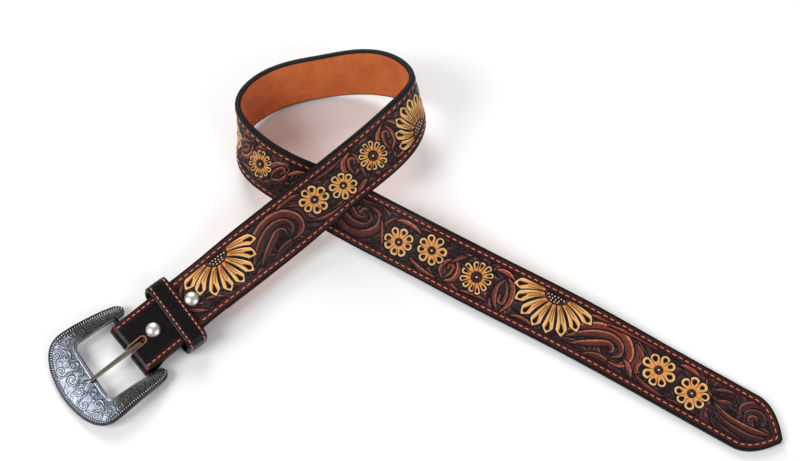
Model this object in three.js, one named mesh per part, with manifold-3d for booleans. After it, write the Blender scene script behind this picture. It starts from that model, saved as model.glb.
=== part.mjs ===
// A tooled leather belt that lies on a table, looped once, with its buckle undone.
// Millimetres, +Z up. The table is the plane z = 0 and the origin is the middle of the footprint.
import * as THREE from 'three';
import { mergeVertices } from 'three/addons/utils/BufferGeometryUtils.js';
import Module from 'manifold-3d';

const wasm = await Module();
wasm.setup();

// Strap
const strapWidth = 38;
const strapThickness = 4;          // leather and lining together
const leatherThickness = 2.5;
const liningThickness = 1.2;
const strapStep = 6;               // distance between two sections of the strap
const pointSteps = 9;              // sections on the stretch that narrows to the point
const gap = 0.3;                   // left between neighbouring pieces
const cutterExtra = 2;             // how far a cutting body runs past what it cuts
const roundSides = 24;             // sides of a round piece
const buckleEndLength = 65;        // straight stretch from the fold to the first row of the route
const tipLength = 69.5;            // flat straight stretch from the last row to the point
const pointLength = 26;            // length over which the strap narrows to its point
const pointHalfWidth = 1.2;
const shoulderPower = 2.1;         // how full the point's shoulders are

// Route of the strap's middle, from the buckle end to the tip.
// lean is the turn of the tooled face about the strap's own length, in degrees:
// 0 is face up, 90 is standing on the lower edge, more leans outward.
const route = [
  { x: -123.8, y: -44.2, z: 12.6, lean: 0 },
  { x: -97, y: -22, z: 15, lean: 13 },
  { x: -67, y: 1, z: 22, lean: 29 },
  { x: -35, y: 25, z: 33, lean: 41 },
  { x: 0, y: 55, z: 41, lean: 47 },
  { x: 11, y: 83, z: 35, lean: 83 },
  { x: -10, y: 102, z: 25, lean: 110 },
  { x: -51, y: 103, z: 19.3, lean: 109 },
  { x: -87, y: 92, z: 19.3, lean: 109 },
  { x: -105, y: 70, z: 23, lean: 94 },
  { x: -98, y: 45, z: 27, lean: 62 },
  { x: -76, y: 28, z: 25, lean: 53 },
  { x: -51, y: 17, z: 18, lean: 38 },
  { x: -23, y: 4, z: 10.5, lean: 25 },
  { x: 11, y: -15, z: 11.5, lean: 29 },
  { x: 57, y: -39, z: 8, lean: 18 },
  { x: 111, y: -67, z: 5, lean: 9 },
  { x: 179, y: -106, z: 2, lean: 0 },
];
const footprintMiddle = { x: 7.67, y: -16.63 };

// Fold of the leather round the buckle's bar
const barRadius = 1.8;
const foldInnerRadius = 3.45;
const foldOuterRadius = foldInnerRadius + leatherThickness;
const foldSteps = 10;
const turnBackEnd = 66;            // where the turned-back leather ends, measured from the fold
const turnBackRise = 11.5;         // length over which it closes up to the strap's back
const slotWidth = 6;
const slotOffset = -0.9;           // across, the slot sits a little towards the lower edge
const slotEnd = 15.5;              // the tongue's slot, from the fold to its round end

// Screws that hold the fold, one on each side of the keeper
const screwPlaces = { screw_near_buckle: 22, screw_near_loop: 53 };
const domeRadius = 5;
const domeHeight = 3.8;
const domeRim = 0.5;               // straight edge under the dome
const domeUndercut = 0.3;
const domeSteps = 6;
const postRadius = 2;
const screwBackThickness = 1.2;
const screwBackRadius = 4.2;

// Keeper, a leather loop round the doubled strap
const keeperPlace = 40.5;
const keeperLength = 14.5;
const keeperWall = 2;
const keeperInnerHalfWidth = 23.3;
const keeperInnerHeight = 10.9;
const keeperCorner = 4.4;
const keeperTurn = -3;             // degrees, the keeper sits slightly askew on the strap
const keeperRake = 0.28;           // how far its underside hangs towards the buckle, for each mm down

// Buckle frame, an arched horseshoe cast in one with its bar
const buckleYaw = -4;              // degrees, the frame sits slightly askew in the fold
const buckleOffset = -1.5;         // along the bar
const frameThickness = 3.2;
const frameSlope = 12;             // degrees, rise of the arms at the bar
const archRadius = 88;
const windowHalfWidth = 21.5;
const windowLength = 30.5;         // from the bar's axis to the window's front edge
const windowCorner = 4;
const armEnd = -8;                 // the arms' round ends reach this far behind the bar
const armEndRound = { back: 0.6, along: 4, across: 3 };
const frontStart = 25;             // where the arms pass into the front
const armSteps = 14;
const frontSteps = 34;
const rimWidth = 1.7;
const rimHeight = 0.5;
const edgeLineWidth = 1.2;
const edgeLineHeight = 0.35;

// Outer half width of the frame at distances in front of the bar
const frameOutline = [
  { ahead: -8, halfWidth: 26.5 },
  { ahead: -5.5, halfWidth: 29.4 },
  { ahead: 0, halfWidth: 31.0 },
  { ahead: 14, halfWidth: 32.8 },
  { ahead: 28, halfWidth: 34.2 },
  { ahead: 37, halfWidth: 34.2 },
  { ahead: 43.5, halfWidth: 31.4 },
  { ahead: 48.5, halfWidth: 25.4 },
  { ahead: 52.3, halfWidth: 15.5 },
  { ahead: 54.3, halfWidth: 0 },
];

// Tongue
const tongueEyeInner = barRadius + gap;
const tongueEyeWall = 1.4;
const tongueEyeOuter = tongueEyeInner + tongueEyeWall;
const tongueStart = 0.6;           // the rod starts just ahead of the bar's axis
const tongueRootWidth = 3.6;
const tongueTipWidth = 2.6;
const tongueThickness = 2.2;
const tongueTipThickness = 1.8;
const tongueLength = 35.5;
const tongueSkew = 4;              // degrees, the tongue lies in line with the strap
const tongueOffset = 0.3;          // along the bar
const tongueBevel = 0.5;
const tongueSteps = 10;

const degrees = Math.PI / 180;

const finishes = {
  leather: { color: 0x5a2a1c, roughness: 0.55, metalness: 0 },
  suede: { color: 0xb8622e, roughness: 0.95, metalness: 0 },
  keeperLeather: { color: 0x2a1716, roughness: 0.5, metalness: 0 },
  silver: { color: 0x8f9aa8, roughness: 0.35, metalness: 1 },
  nickel: { color: 0xc9c8c4, roughness: 0.2, metalness: 1 },
  tongueMetal: { color: 0x827d69, roughness: 0.35, metalness: 1 },
};

function part(name, geometry, finish) {
  const mesh = new THREE.Mesh(geometry, new THREE.MeshStandardMaterial(finish));
  mesh.name = name;
  return mesh;
}

// Natural cubic spline through values at knots. A slope fixes an end, null leaves it free.
function cubicSpline(knots, values, startSlope = null, endSlope = null) {
  const n = knots.length;
  const lower = new Array(n).fill(0);
  const middle = new Array(n).fill(1);
  const upper = new Array(n).fill(0);
  const right = new Array(n).fill(0);
  const run = (i) => knots[i + 1] - knots[i];
  const rise = (i) => (values[i + 1] - values[i]) / run(i);
  for (let i = 1; i < n - 1; i += 1) {
    lower[i] = run(i - 1);
    middle[i] = 2 * (run(i - 1) + run(i));
    upper[i] = run(i);
    right[i] = 6 * (rise(i) - rise(i - 1));
  }
  if (startSlope !== null) {
    middle[0] = 2 * run(0);
    upper[0] = run(0);
    right[0] = 6 * (rise(0) - startSlope);
  }
  if (endSlope !== null) {
    lower[n - 1] = run(n - 2);
    middle[n - 1] = 2 * run(n - 2);
    right[n - 1] = 6 * (endSlope - rise(n - 2));
  }
  for (let i = 1; i < n; i += 1) {
    const share = lower[i] / middle[i - 1];
    middle[i] -= share * upper[i - 1];
    right[i] -= share * right[i - 1];
  }
  const bend = new Array(n).fill(0);
  bend[n - 1] = right[n - 1] / middle[n - 1];
  for (let i = n - 2; i >= 0; i -= 1) bend[i] = (right[i] - upper[i] * bend[i + 1]) / middle[i];
  return (at) => {
    let i = 0;
    while (i < n - 2 && at > knots[i + 1]) i += 1;
    const h = run(i);
    const a = (knots[i + 1] - at) / h;
    const b = (at - knots[i]) / h;
    return a * values[i] + b * values[i + 1]
      + ((a ** 3 - a) * bend[i] + (b ** 3 - b) * bend[i + 1]) * h * h / 6;
  };
}

// The strap's middle line as a function of the distance from the fold.
function makeCentreLine() {
  const knots = [0];
  for (let i = 1; i < route.length; i += 1) {
    const from = new THREE.Vector3(route[i - 1].x, route[i - 1].y, route[i - 1].z);
    const to = new THREE.Vector3(route[i].x, route[i].y, route[i].z);
    knots.push(knots[i - 1] + from.distanceTo(to));
  }
  const column = (name) => route.map((row) => row[name]);
  const x = cubicSpline(knots, column('x'));
  const y = cubicSpline(knots, column('y'));
  const z = cubicSpline(knots, column('z'), null, 0);
  const lean = cubicSpline(knots, column('lean'), 0, 0);
  const place = (u) => new THREE.Vector3(x(u), y(u), z(u));
  const knotEnd = knots[knots.length - 1];
  const samples = 2000;
  const tangentReach = 0.01;
  const lengths = [0];
  for (let i = 1; i <= samples; i += 1) {
    const before = place(knotEnd * (i - 1) / samples);
    lengths.push(lengths[i - 1] + before.distanceTo(place(knotEnd * i / samples)));
  }
  const curvedLength = lengths[samples];
  const knotAt = (distance) => {
    const wanted = THREE.MathUtils.clamp(distance, 0, curvedLength);
    let i = 1;
    while (i < samples && lengths[i] < wanted) i += 1;
    const share = (wanted - lengths[i - 1]) / (lengths[i] - lengths[i - 1]);
    return knotEnd * (i - 1 + share) / samples;
  };
  const frameAt = (distance) => {
    const inCurve = distance - buckleEndLength;
    const u = knotAt(inCurve);
    const low = Math.max(u - tangentReach, 0);
    const high = Math.min(u + tangentReach, knotEnd);
    const along = place(high).sub(place(low)).normalize();
    const beyond = inCurve - THREE.MathUtils.clamp(inCurve, 0, curvedLength);
    const centre = place(u).addScaledVector(along, beyond);
    const level = new THREE.Vector3(0, 0, 1).cross(along).normalize();
    const upright = along.clone().cross(level);
    const angle = lean(u) * degrees;
    const across = level.clone().multiplyScalar(Math.cos(angle)).addScaledVector(upright, Math.sin(angle));
    const face = upright.clone().multiplyScalar(Math.cos(angle)).addScaledVector(level, -Math.sin(angle));
    return { centre, along, across, face };
  };
  return { frameAt, length: buckleEndLength + curvedLength + tipLength };
}

const centreLine = makeCentreLine();
const strapLength = centreLine.length;

// A point of the strap: distance from the fold, across towards the upper edge, up from the middle layer.
function onStrap(distance, across, up) {
  const frame = centreLine.frameAt(distance);
  return frame.centre.addScaledVector(frame.across, across).addScaledVector(frame.face, up);
}

// Half the strap's width, which rounds off to a blunt point at the tip.
function halfWidthAt(distance) {
  const fromTip = strapLength - distance;
  if (fromTip >= pointLength) return strapWidth / 2;
  const share = fromTip / pointLength;
  return pointHalfWidth + (strapWidth / 2 - pointHalfWidth) * (1 - (1 - share) ** shoulderPower);
}

// Closed body through rings of equally many points, with a flat cap at each end.
function loft(rings) {
  const positions = rings.flatMap((ring) => ring.flatMap((point) => point.toArray()));
  const count = rings[0].length;
  const index = [];
  for (let band = 0; band < rings.length - 1; band += 1) {
    const here = band * count;
    const next = here + count;
    for (let i = 0; i < count; i += 1) {
      const j = (i + 1) % count;
      index.push(here + i, next + i, next + j, here + i, next + j, here + j);
    }
  }
  const last = (rings.length - 1) * count;
  for (let i = 1; i < count - 1; i += 1) {
    index.push(0, i, i + 1);
    index.push(last, last + i + 1, last + i);
  }
  const geometry = new THREE.BufferGeometry();
  geometry.setAttribute('position', new THREE.Float32BufferAttribute(positions, 3));
  geometry.setIndex(index);
  return facingOut(geometry);
}

// Turns the faces round where the enclosed volume comes out negative.
function facingOut(geometry) {
  const position = geometry.getAttribute('position');
  const index = geometry.getIndex();
  const corner = (i) => new THREE.Vector3().fromBufferAttribute(position, index.getX(i));
  let volume = 0;
  for (let i = 0; i < index.count; i += 3) volume += corner(i).dot(corner(i + 1).cross(corner(i + 2)));
  if (volume < 0) {
    for (let i = 0; i < index.count; i += 3) {
      const second = index.getX(i + 1);
      index.setX(i + 1, index.getX(i + 2));
      index.setX(i + 2, second);
    }
  }
  return geometry;
}

function toSolid(geometry) {
  const bare = geometry.clone();
  bare.deleteAttribute('normal');
  bare.deleteAttribute('uv');
  const merged = facingOut(mergeVertices(bare, 1e-4));
  return new wasm.Manifold(new wasm.Mesh({
    numProp: 3,
    vertProperties: new Float32Array(merged.getAttribute('position').array),
    triVerts: new Uint32Array(merged.getIndex().array),
  }));
}

function toGeometry(solid) {
  const mesh = solid.getMesh();
  const geometry = new THREE.BufferGeometry();
  geometry.setAttribute('position', new THREE.Float32BufferAttribute(mesh.vertProperties, 3));
  geometry.setIndex(new THREE.Uint32BufferAttribute(mesh.triVerts, 1));
  return geometry;
}

// Straight part of the buckle end as a frame of axes: x towards the tip, y across, z out of the face.
function strapAxes(distance, up) {
  const frame = centreLine.frameAt(distance);
  const axes = new THREE.Matrix4().makeBasis(frame.along, frame.across, frame.face);
  return axes.setPosition(onStrap(distance, 0, up));
}

const topFace = strapThickness / 2;
const leatherBack = topFace - leatherThickness;
const liningFront = -strapThickness / 2 + liningThickness;
const liningBack = -strapThickness / 2;
const barPlace = foldOuterRadius;
const barDepth = topFace - foldOuterRadius;

// Distances at which the strap has a section: both ends, and the same even steps for every layer.
function sectionPlaces(from, to) {
  const places = [from];
  const first = Math.ceil((from + 1) / strapStep);
  for (let i = first; i * strapStep < to - 1; i += 1) places.push(i * strapStep);
  return [...places, to];
}

// Distances of the sections on the stretch that narrows to the point.
function pointPlaces() {
  const places = [];
  for (let i = 1; i <= pointSteps; i += 1) places.push(strapLength - pointLength * (1 - i / pointSteps));
  return places;
}

// One section of a layer of the strap. Two layers list the faces that meet first, so that they match.
function strapRing(distance, outer, inner) {
  const half = halfWidthAt(distance);
  return [
    onStrap(distance, -half, inner), onStrap(distance, 0, inner), onStrap(distance, half, inner),
    onStrap(distance, half, outer), onStrap(distance, 0, outer), onStrap(distance, -half, outer),
  ];
}

// Height of the turned-back leather's upper side, measured from the strap's middle layer.
function turnBackTop(distance) {
  const share = THREE.MathUtils.clamp((distance - barPlace) / turnBackRise, 0, 1);
  const eased = share * share * (3 - 2 * share);
  return THREE.MathUtils.lerp(barDepth - foldInnerRadius, leatherBack - gap, eased);
}

// Outer leather: turned-back end, fold round the bar, and the tooled strap to its tip.
function makeLeather() {
  const rings = [];
  for (const distance of sectionPlaces(barPlace + 1, turnBackEnd).reverse()) {
    const top = turnBackTop(distance);
    rings.push(strapRing(distance, top - leatherThickness, top));
  }
  const axes = strapAxes(barPlace, barDepth);
  for (let i = 0; i <= foldSteps; i += 1) {
    const turn = Math.PI * (i / foldSteps - 0.5);
    const arc = (across, radius) => new THREE.Vector3(
      -Math.cos(turn) * radius, across, Math.sin(turn) * radius,
    ).applyMatrix4(axes);
    const half = strapWidth / 2;
    rings.push([
      arc(-half, foldInnerRadius), arc(0, foldInnerRadius), arc(half, foldInnerRadius),
      arc(half, foldOuterRadius), arc(0, foldOuterRadius), arc(-half, foldOuterRadius),
    ]);
  }
  const straight = sectionPlaces(barPlace, strapLength - pointLength).slice(1);
  for (const distance of [...straight, ...pointPlaces()]) {
    rings.push(strapRing(distance, topFace, leatherBack));
  }
  let solid = toSolid(loft(rings)).subtract(slotCutter());
  for (const distance of Object.values(screwPlaces)) solid = solid.subtract(screwHole(distance));
  return toGeometry(solid);
}

// Slot for the tongue: a round-ended cut through both leaves and the fold.
function slotCutter() {
  const radius = slotWidth / 2;
  const outline = new THREE.Shape();
  outline.moveTo(-barPlace - cutterExtra, slotOffset - radius);
  outline.lineTo(slotEnd - barPlace - radius, slotOffset - radius);
  outline.absarc(slotEnd - barPlace - radius, slotOffset, radius, -Math.PI / 2, Math.PI / 2, false);
  outline.lineTo(-barPlace - cutterExtra, slotOffset + radius);
  outline.closePath();
  const height = 2 * (foldOuterRadius + cutterExtra);
  const cutter = new THREE.ExtrudeGeometry(outline, {
    depth: height, bevelEnabled: false, curveSegments: 10,
  });
  cutter.translate(0, 0, -height / 2);
  cutter.applyMatrix4(strapAxes(barPlace, barDepth));
  return toSolid(cutter);
}

function screwHole(distance) {
  const height = 4 * (strapThickness + cutterExtra);
  const hole = new THREE.CylinderGeometry(postRadius + gap, postRadius + gap, height, roundSides);
  hole.rotateX(Math.PI / 2);
  hole.applyMatrix4(strapAxes(distance, 0));
  return toSolid(hole);
}

// Suede lining, from the end of the turned-back leather to the tip.
function makeLining() {
  const start = turnBackEnd + gap;
  const places = [...sectionPlaces(start, strapLength - pointLength), ...pointPlaces()];
  return loft(places.map((distance) => strapRing(distance, liningBack, liningFront)));
}

// Screw with a domed head on the face, a post through both leaves and a flat back.
function makeScrew(distance) {
  const under = leatherBack - gap - leatherThickness - gap;
  const profile = [
    new THREE.Vector2(0, under - screwBackThickness),
    new THREE.Vector2(screwBackRadius, under - screwBackThickness),
    new THREE.Vector2(screwBackRadius, under),
    new THREE.Vector2(postRadius, under),
    new THREE.Vector2(postRadius, topFace + gap),
    new THREE.Vector2(domeRadius - domeUndercut, topFace + gap),
  ];
  for (let i = 0; i <= domeSteps; i += 1) {
    const turn = Math.PI / 2 * i / domeSteps;
    const out = i === domeSteps ? 0 : domeRadius * Math.cos(turn);
    const above = domeRim + (domeHeight - domeRim) * Math.sin(turn);
    profile.push(new THREE.Vector2(out, topFace + gap + above));
  }
  const screw = new THREE.LatheGeometry(profile, roundSides);
  screw.rotateX(Math.PI / 2);
  screw.applyMatrix4(strapAxes(distance, 0));
  return toGeometry(toSolid(screw));
}

function roundedRectangle(path, halfWidth, low, high, corner) {
  path.moveTo(-halfWidth + corner, low);
  path.lineTo(halfWidth - corner, low);
  path.absarc(halfWidth - corner, low + corner, corner, -Math.PI / 2, 0, false);
  path.lineTo(halfWidth, high - corner);
  path.absarc(halfWidth - corner, high - corner, corner, 0, Math.PI / 2, false);
  path.lineTo(-halfWidth + corner, high);
  path.absarc(-halfWidth + corner, high - corner, corner, Math.PI / 2, Math.PI, false);
  path.lineTo(-halfWidth, low + corner);
  path.absarc(-halfWidth + corner, low + corner, corner, Math.PI, 1.5 * Math.PI, false);
  return path;
}

// Keeper: a band closed round the strap, resting on its face and open below for the belt's tip.
function makeKeeper() {
  const innerHigh = topFace + gap;
  const innerLow = innerHigh - keeperInnerHeight;
  const outer = roundedRectangle(
    new THREE.Shape(), keeperInnerHalfWidth + keeperWall, innerLow - keeperWall, innerHigh + keeperWall,
    keeperCorner + keeperWall * 0.4,
  );
  const inner = roundedRectangle(
    new THREE.Path(), keeperInnerHalfWidth, innerLow, innerHigh, keeperCorner,
  );
  outer.holes.push(inner);
  const band = new THREE.ExtrudeGeometry(outer, {
    depth: keeperLength, bevelEnabled: false, curveSegments: 6,
  });
  band.translate(0, 0, -keeperLength / 2);
  const turned = new THREE.Matrix4().makeBasis(
    new THREE.Vector3(0, 1, 0), new THREE.Vector3(0, 0, 1), new THREE.Vector3(1, 0, 0),
  );
  band.applyMatrix4(turned);
  band.translate(0, 0, -innerHigh);
  band.applyMatrix4(new THREE.Matrix4().makeShear(0, 0, 0, 0, keeperRake, 0));
  band.translate(0, 0, innerHigh);
  band.rotateZ(keeperTurn * degrees);
  band.applyMatrix4(strapAxes(keeperPlace, 0));
  return toGeometry(toSolid(band));
}

// Axes of the buckle: origin on the bar's axis, x ahead of the strap, y along the bar, z up.
function buckleAxes() {
  const frame = centreLine.frameAt(barPlace);
  const ahead = frame.along.clone().negate().setZ(0).normalize();
  ahead.applyAxisAngle(new THREE.Vector3(0, 0, 1), buckleYaw * degrees);
  const up = new THREE.Vector3(0, 0, 1);
  const alongBar = up.clone().cross(ahead);
  const axes = new THREE.Matrix4().makeBasis(ahead, alongBar, up);
  return axes.setPosition(onStrap(barPlace, 0, barDepth));
}

// Height of the arched plate's middle above the bar's axis.
function archHeight(ahead) {
  return ahead * Math.tan(frameSlope * degrees) - ahead * ahead / (2 * archRadius);
}

function archSlope(ahead) {
  return Math.tan(frameSlope * degrees) - ahead / archRadius;
}

// A point of the plate: along the outline in the flat, then raised by the arch.
function onPlate(ahead, across, up) {
  const slope = archSlope(ahead);
  const steep = Math.hypot(1, slope);
  return new THREE.Vector3(
    ahead - up * slope / steep, across + buckleOffset, archHeight(ahead) + up / steep,
  );
}

// Outer edge of the plate, from one arm's end round the front to the other's.
function outerEdge() {
  const side = frameOutline.map((row) => new THREE.Vector3(row.ahead, -row.halfWidth, 0));
  const otherSide = frameOutline.slice(0, -1).reverse();
  return new THREE.CatmullRomCurve3([
    ...side, ...otherSide.map((row) => new THREE.Vector3(row.ahead, row.halfWidth, 0)),
  ], false, 'centripetal');
}

// Inner edge of the plate: the window, with the arms' ends rounded off.
function innerEdge() {
  const edge = new THREE.Path();
  const turn = windowLength - windowCorner;
  const side = windowHalfWidth - windowCorner;
  const { back, along, across } = armEndRound;
  edge.moveTo(armEnd, -windowHalfWidth - across);
  edge.quadraticCurveTo(armEnd + back, -windowHalfWidth, armEnd + along, -windowHalfWidth);
  edge.lineTo(turn, -windowHalfWidth);
  edge.absarc(turn, -side, windowCorner, -Math.PI / 2, 0, false);
  edge.lineTo(windowLength, side);
  edge.absarc(turn, side, windowCorner, 0, Math.PI / 2, false);
  edge.lineTo(armEnd + along, windowHalfWidth);
  edge.quadraticCurveTo(armEnd + back, windowHalfWidth, armEnd, windowHalfWidth + across);
  return edge;
}

// Points along an edge: the first arm, the front and the second arm, each evenly spaced.
function pointsAlong(edge, frontShare) {
  const points = [];
  const stretch = (from, to, count) => {
    for (let i = 0; i < count; i += 1) {
      const point = edge(from + (to - from) * i / count);
      points.push(new THREE.Vector2(point.x, point.y));
    }
  };
  stretch(0, frontShare, armSteps);
  stretch(frontShare, 1 - frontShare, frontSteps);
  stretch(1 - frontShare, 1, armSteps);
  const end = edge(1);
  points.push(new THREE.Vector2(end.x, end.y));
  return points;
}

// Share of an edge's length at which it first reaches the front of the arms.
function shareAtFront(edge) {
  let share = 0;
  while (edge(share).x < frontStart) share += 0.002;
  return share;
}

// The plate's section: share of the way from the window's edge to the outer edge, and height
// above the middle. It runs along the back, up the outer edge, over the raised rim and the crown
// to the raised line by the window.
function plateSection(width) {
  const half = frameThickness / 2;
  const line = Math.min(edgeLineWidth / width, 0.2);
  const rim = Math.min(rimWidth / width, 0.3);
  return [
    { share: 0, up: -half * 0.6 },
    { share: 0.1, up: -half },
    { share: 0.9, up: -half },
    { share: 1, up: -half * 0.5 },
    { share: 1, up: half * 0.7 },
    { share: 1 - rim * 0.5, up: half + rimHeight * 0.4 },
    { share: 1 - rim, up: half - 0.2 },
    { share: 0.5, up: half + 0.35 },
    { share: line * 1.6, up: half - 0.1 },
    { share: line, up: half + edgeLineHeight - 0.1 },
    { share: 0, up: half * 0.5 },
  ];
}

function makeBuckleFrame() {
  const outerCurve = outerEdge();
  const innerCurve = innerEdge();
  const outerAt = (share) => outerCurve.getPointAt(share);
  const innerAt = (share) => innerCurve.getPoint(share);
  const outer = pointsAlong(outerAt, shareAtFront(outerAt));
  const inner = pointsAlong(innerAt, shareAtFront(innerAt));
  const rings = outer.map((edge, i) => {
    const width = edge.distanceTo(inner[i]);
    return plateSection(width).map((point) => {
      const flat = inner[i].clone().lerp(edge, point.share);
      return onPlate(flat.x, flat.y, point.up);
    });
  });
  const barLength = 2 * (windowHalfWidth + cutterExtra);
  const bar = new THREE.CylinderGeometry(barRadius, barRadius, barLength, roundSides);
  bar.translate(0, buckleOffset, 0);
  const solid = toSolid(loft(rings)).add(toSolid(bar));
  return toGeometry(solid).applyMatrix4(buckleAxes());
}

// Tongue: an eye round the bar and a tapered flat rod that rests on the frame's front.
function makeTongue() {
  const eye = new THREE.Shape();
  eye.absarc(0, 0, tongueEyeOuter, 0, 2 * Math.PI, false);
  const hole = new THREE.Path();
  hole.absarc(0, 0, tongueEyeInner, 0, 2 * Math.PI, true);
  eye.holes.push(hole);
  const eyeRing = new THREE.ExtrudeGeometry(eye, {
    depth: tongueRootWidth, bevelEnabled: false, curveSegments: 10,
  });
  eyeRing.translate(0, 0, -tongueRootWidth / 2);
  eyeRing.rotateX(Math.PI / 2);
  const restTop = archHeight(windowLength) + frameThickness / 2 + edgeLineHeight + gap;
  const rings = [];
  for (let i = 0; i <= tongueSteps; i += 1) {
    const share = i / tongueSteps;
    const ahead = THREE.MathUtils.lerp(tongueStart, tongueLength, share);
    const bottom = THREE.MathUtils.lerp(tongueEyeInner, restTop, Math.sin(share * Math.PI / 2));
    const half = THREE.MathUtils.lerp(tongueRootWidth, tongueTipWidth, share) / 2;
    const top = bottom + THREE.MathUtils.lerp(tongueThickness, tongueTipThickness, share);
    const ring = (across, up) => new THREE.Vector3(ahead, across, up);
    rings.push([
      ring(-half + tongueBevel, bottom), ring(half - tongueBevel, bottom),
      ring(half, bottom + tongueBevel), ring(half, top - tongueBevel),
      ring(half - tongueBevel, top), ring(-half + tongueBevel, top),
      ring(-half, top - tongueBevel), ring(-half, bottom + tongueBevel),
    ]);
  }
  const blade = loft(rings).rotateZ(tongueSkew * degrees);
  const solid = toSolid(blade).add(toSolid(eyeRing)).translate([0, tongueOffset, 0]);
  return toGeometry(solid).applyMatrix4(buckleAxes());
}

const strap = new THREE.Group();
strap.add(part('strap_leather', makeLeather(), finishes.leather));
strap.add(part('strap_lining', makeLining(), finishes.suede));
strap.add(part('keeper', makeKeeper(), finishes.keeperLeather));
for (const [name, distance] of Object.entries(screwPlaces)) {
  strap.add(part(name, makeScrew(distance), finishes.nickel));
}

const buckle = new THREE.Group();
buckle.add(part('buckle_frame', makeBuckleFrame(), finishes.silver));
buckle.add(part('tongue', makeTongue(), finishes.tongueMetal));

const belt = new THREE.Group();
belt.add(strap, buckle);
belt.position.set(-footprintMiddle.x, -footprintMiddle.y, 0);

export default belt;
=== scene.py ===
"""A tooled leather belt that lies on a table, looped once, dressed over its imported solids.

Lengths are in millimetres until a mesh is made. A place on the strap is its distance from the fold at
the buckle, its place across (towards the upper edge) and its height above the strap's middle layer.
"""

import math

import bpy
import numpy as np
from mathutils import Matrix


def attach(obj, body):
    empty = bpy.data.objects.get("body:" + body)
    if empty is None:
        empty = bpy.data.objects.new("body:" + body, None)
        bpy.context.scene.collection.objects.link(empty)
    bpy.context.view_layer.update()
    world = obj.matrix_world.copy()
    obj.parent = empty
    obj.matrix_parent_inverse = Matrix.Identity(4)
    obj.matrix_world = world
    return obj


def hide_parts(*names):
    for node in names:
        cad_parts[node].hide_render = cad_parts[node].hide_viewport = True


bl_info = {
    "name": "Tooled belt",
    "version": (1, 0, 0),
    "blender": (4, 5, 0),
    "location": "View3D > Sidebar > Belt",
    "description": "Dresses a looped belt with its tooling, stitching and engraved buckle",
    "category": "Add Mesh",
}

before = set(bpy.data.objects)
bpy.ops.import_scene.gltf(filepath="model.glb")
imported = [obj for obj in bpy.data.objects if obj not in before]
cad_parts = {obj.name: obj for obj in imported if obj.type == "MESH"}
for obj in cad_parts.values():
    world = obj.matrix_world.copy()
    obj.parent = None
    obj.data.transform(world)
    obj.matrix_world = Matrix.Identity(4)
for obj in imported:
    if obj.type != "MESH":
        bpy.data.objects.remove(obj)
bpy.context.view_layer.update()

MM = 0.001
BAKE_MAP = "OFBake"

# Strap, as in the part's source. Its slot is drawn slimmer than the solid's
STRAP_WIDTH = 38.0
FACE_UP = 2.0
LEATHER = 2.5
LINING_TOP = -0.85
LINING_BACK = -2.0
BUCKLE_END = 65.0
TIP_END = 69.5
POINT_LENGTH = 26.0
POINT_HALF_WIDTH = 1.2
SHOULDER_POWER = 2.1
FOLD_INNER = 3.45
FOLD_OUTER = FOLD_INNER + LEATHER
TURN_BACK_END = 66.0
TURN_BACK_RISE = 11.5
TURN_BACK_TOP = -0.8
SLOT_WIDTH = 5.2
SLOT_OFFSET = -0.5
SLOT_END = 15.5

# Middle line of the strap as it lies, with its lean in degrees, and the middle of the ground it covers
ROUTE = np.array([
    (-123.8, -44.2, 12.6, 0), (-97, -22, 15, 13), (-67, 1, 22, 29), (-35, 25, 33, 41),
    (0, 55, 41, 47), (11, 83, 35, 83), (-10, 102, 25, 110), (-51, 103, 19.3, 109),
    (-87, 92, 19.3, 109), (-105, 70, 23, 94), (-98, 45, 27, 62), (-76, 28, 25, 53),
    (-51, 17, 18, 38), (-23, 4, 10.5, 25), (11, -15, 11.5, 29), (57, -39, 8, 18),
    (111, -67, 5, 9), (179, -106, 2, 0),
], dtype=[("x", float), ("y", float), ("z", float), ("lean", float)])
FOOTPRINT_MIDDLE = np.array([7.67, -16.63, 0.0])

# Dressing of the strap: where the tooling starts, and the lining's width as a share of the strap's
TOOLED_FROM = 44.0
TOOLED_STRETCHES = 4
LINING_SHARE = 0.952

# Painted shade on the suede: where round the loop's left bend it is darkest, and how far that reaches
PAINTED_SHADE_PLACE = 388.0
PAINTED_SHADE_REACH = 28.0

# Underside of a tooled stretch: shares of its half width, and heights where it is single and lined
STRAP_BACK = np.array([
    (1.0, 0.6, -0.9), (0.99, 0.0, -1.6), (0.9585, -0.3, LINING_BACK + 0.05), (0.956, -0.5, -0.75),
    (0.4, -0.5, -0.75), (-0.4, -0.5, -0.75), (-0.956, -0.5, -0.75),
    (-0.9585, -0.3, LINING_BACK + 0.05), (-0.99, 0.0, -1.6), (-1.0, 0.6, -0.9),
], dtype=[("share", float), ("single", float), ("lined", float)])

# The line between the tooled field and the stitched band, and the groove and holes of the stitches
BORDER_LINE = 0.55
GROOVE_DEPTH = 0.3
HOLE_RADIUS = 0.45

# Where the stitches on the face and on the lining start, and the height of their thread
FACE_STITCHES_FROM = 49.0
LINING_STITCHES_FROM = 68.0
THREAD_HEIGHT = 0.75

# Fine stitches, by their length, width and height, and how far they lie inside the edges
FINE_PITCH = 3.6
FINE_STITCH = (2.8, 0.54, 0.44)
PLAIN_INSET = 2.9
KEEPER_INSET = 2.35

# Screws: where they stand, and their sizes
SCREWS = {"screw_near_buckle": 22.0, "screw_near_loop": 53.0}
HEAD_RADIUS = 5.0
DOME_RISE = 3.5
DOME_FROM = 0.5
POST_RADIUS = 2.0
BACK_RADIUS = 4.2
BACK_THICKNESS = 1.2

# Keeper
KEEPER_PLACE = 40.5
KEEPER_LENGTH = 14.5
KEEPER_WALL = 2.0
KEEPER_HALF_WIDTH = 23.3
KEEPER_TOP = 2.3
KEEPER_HEIGHT = 10.9
KEEPER_CORNER = 4.4
KEEPER_TURN = -3.0
KEEPER_RAKE = 0.28

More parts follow.
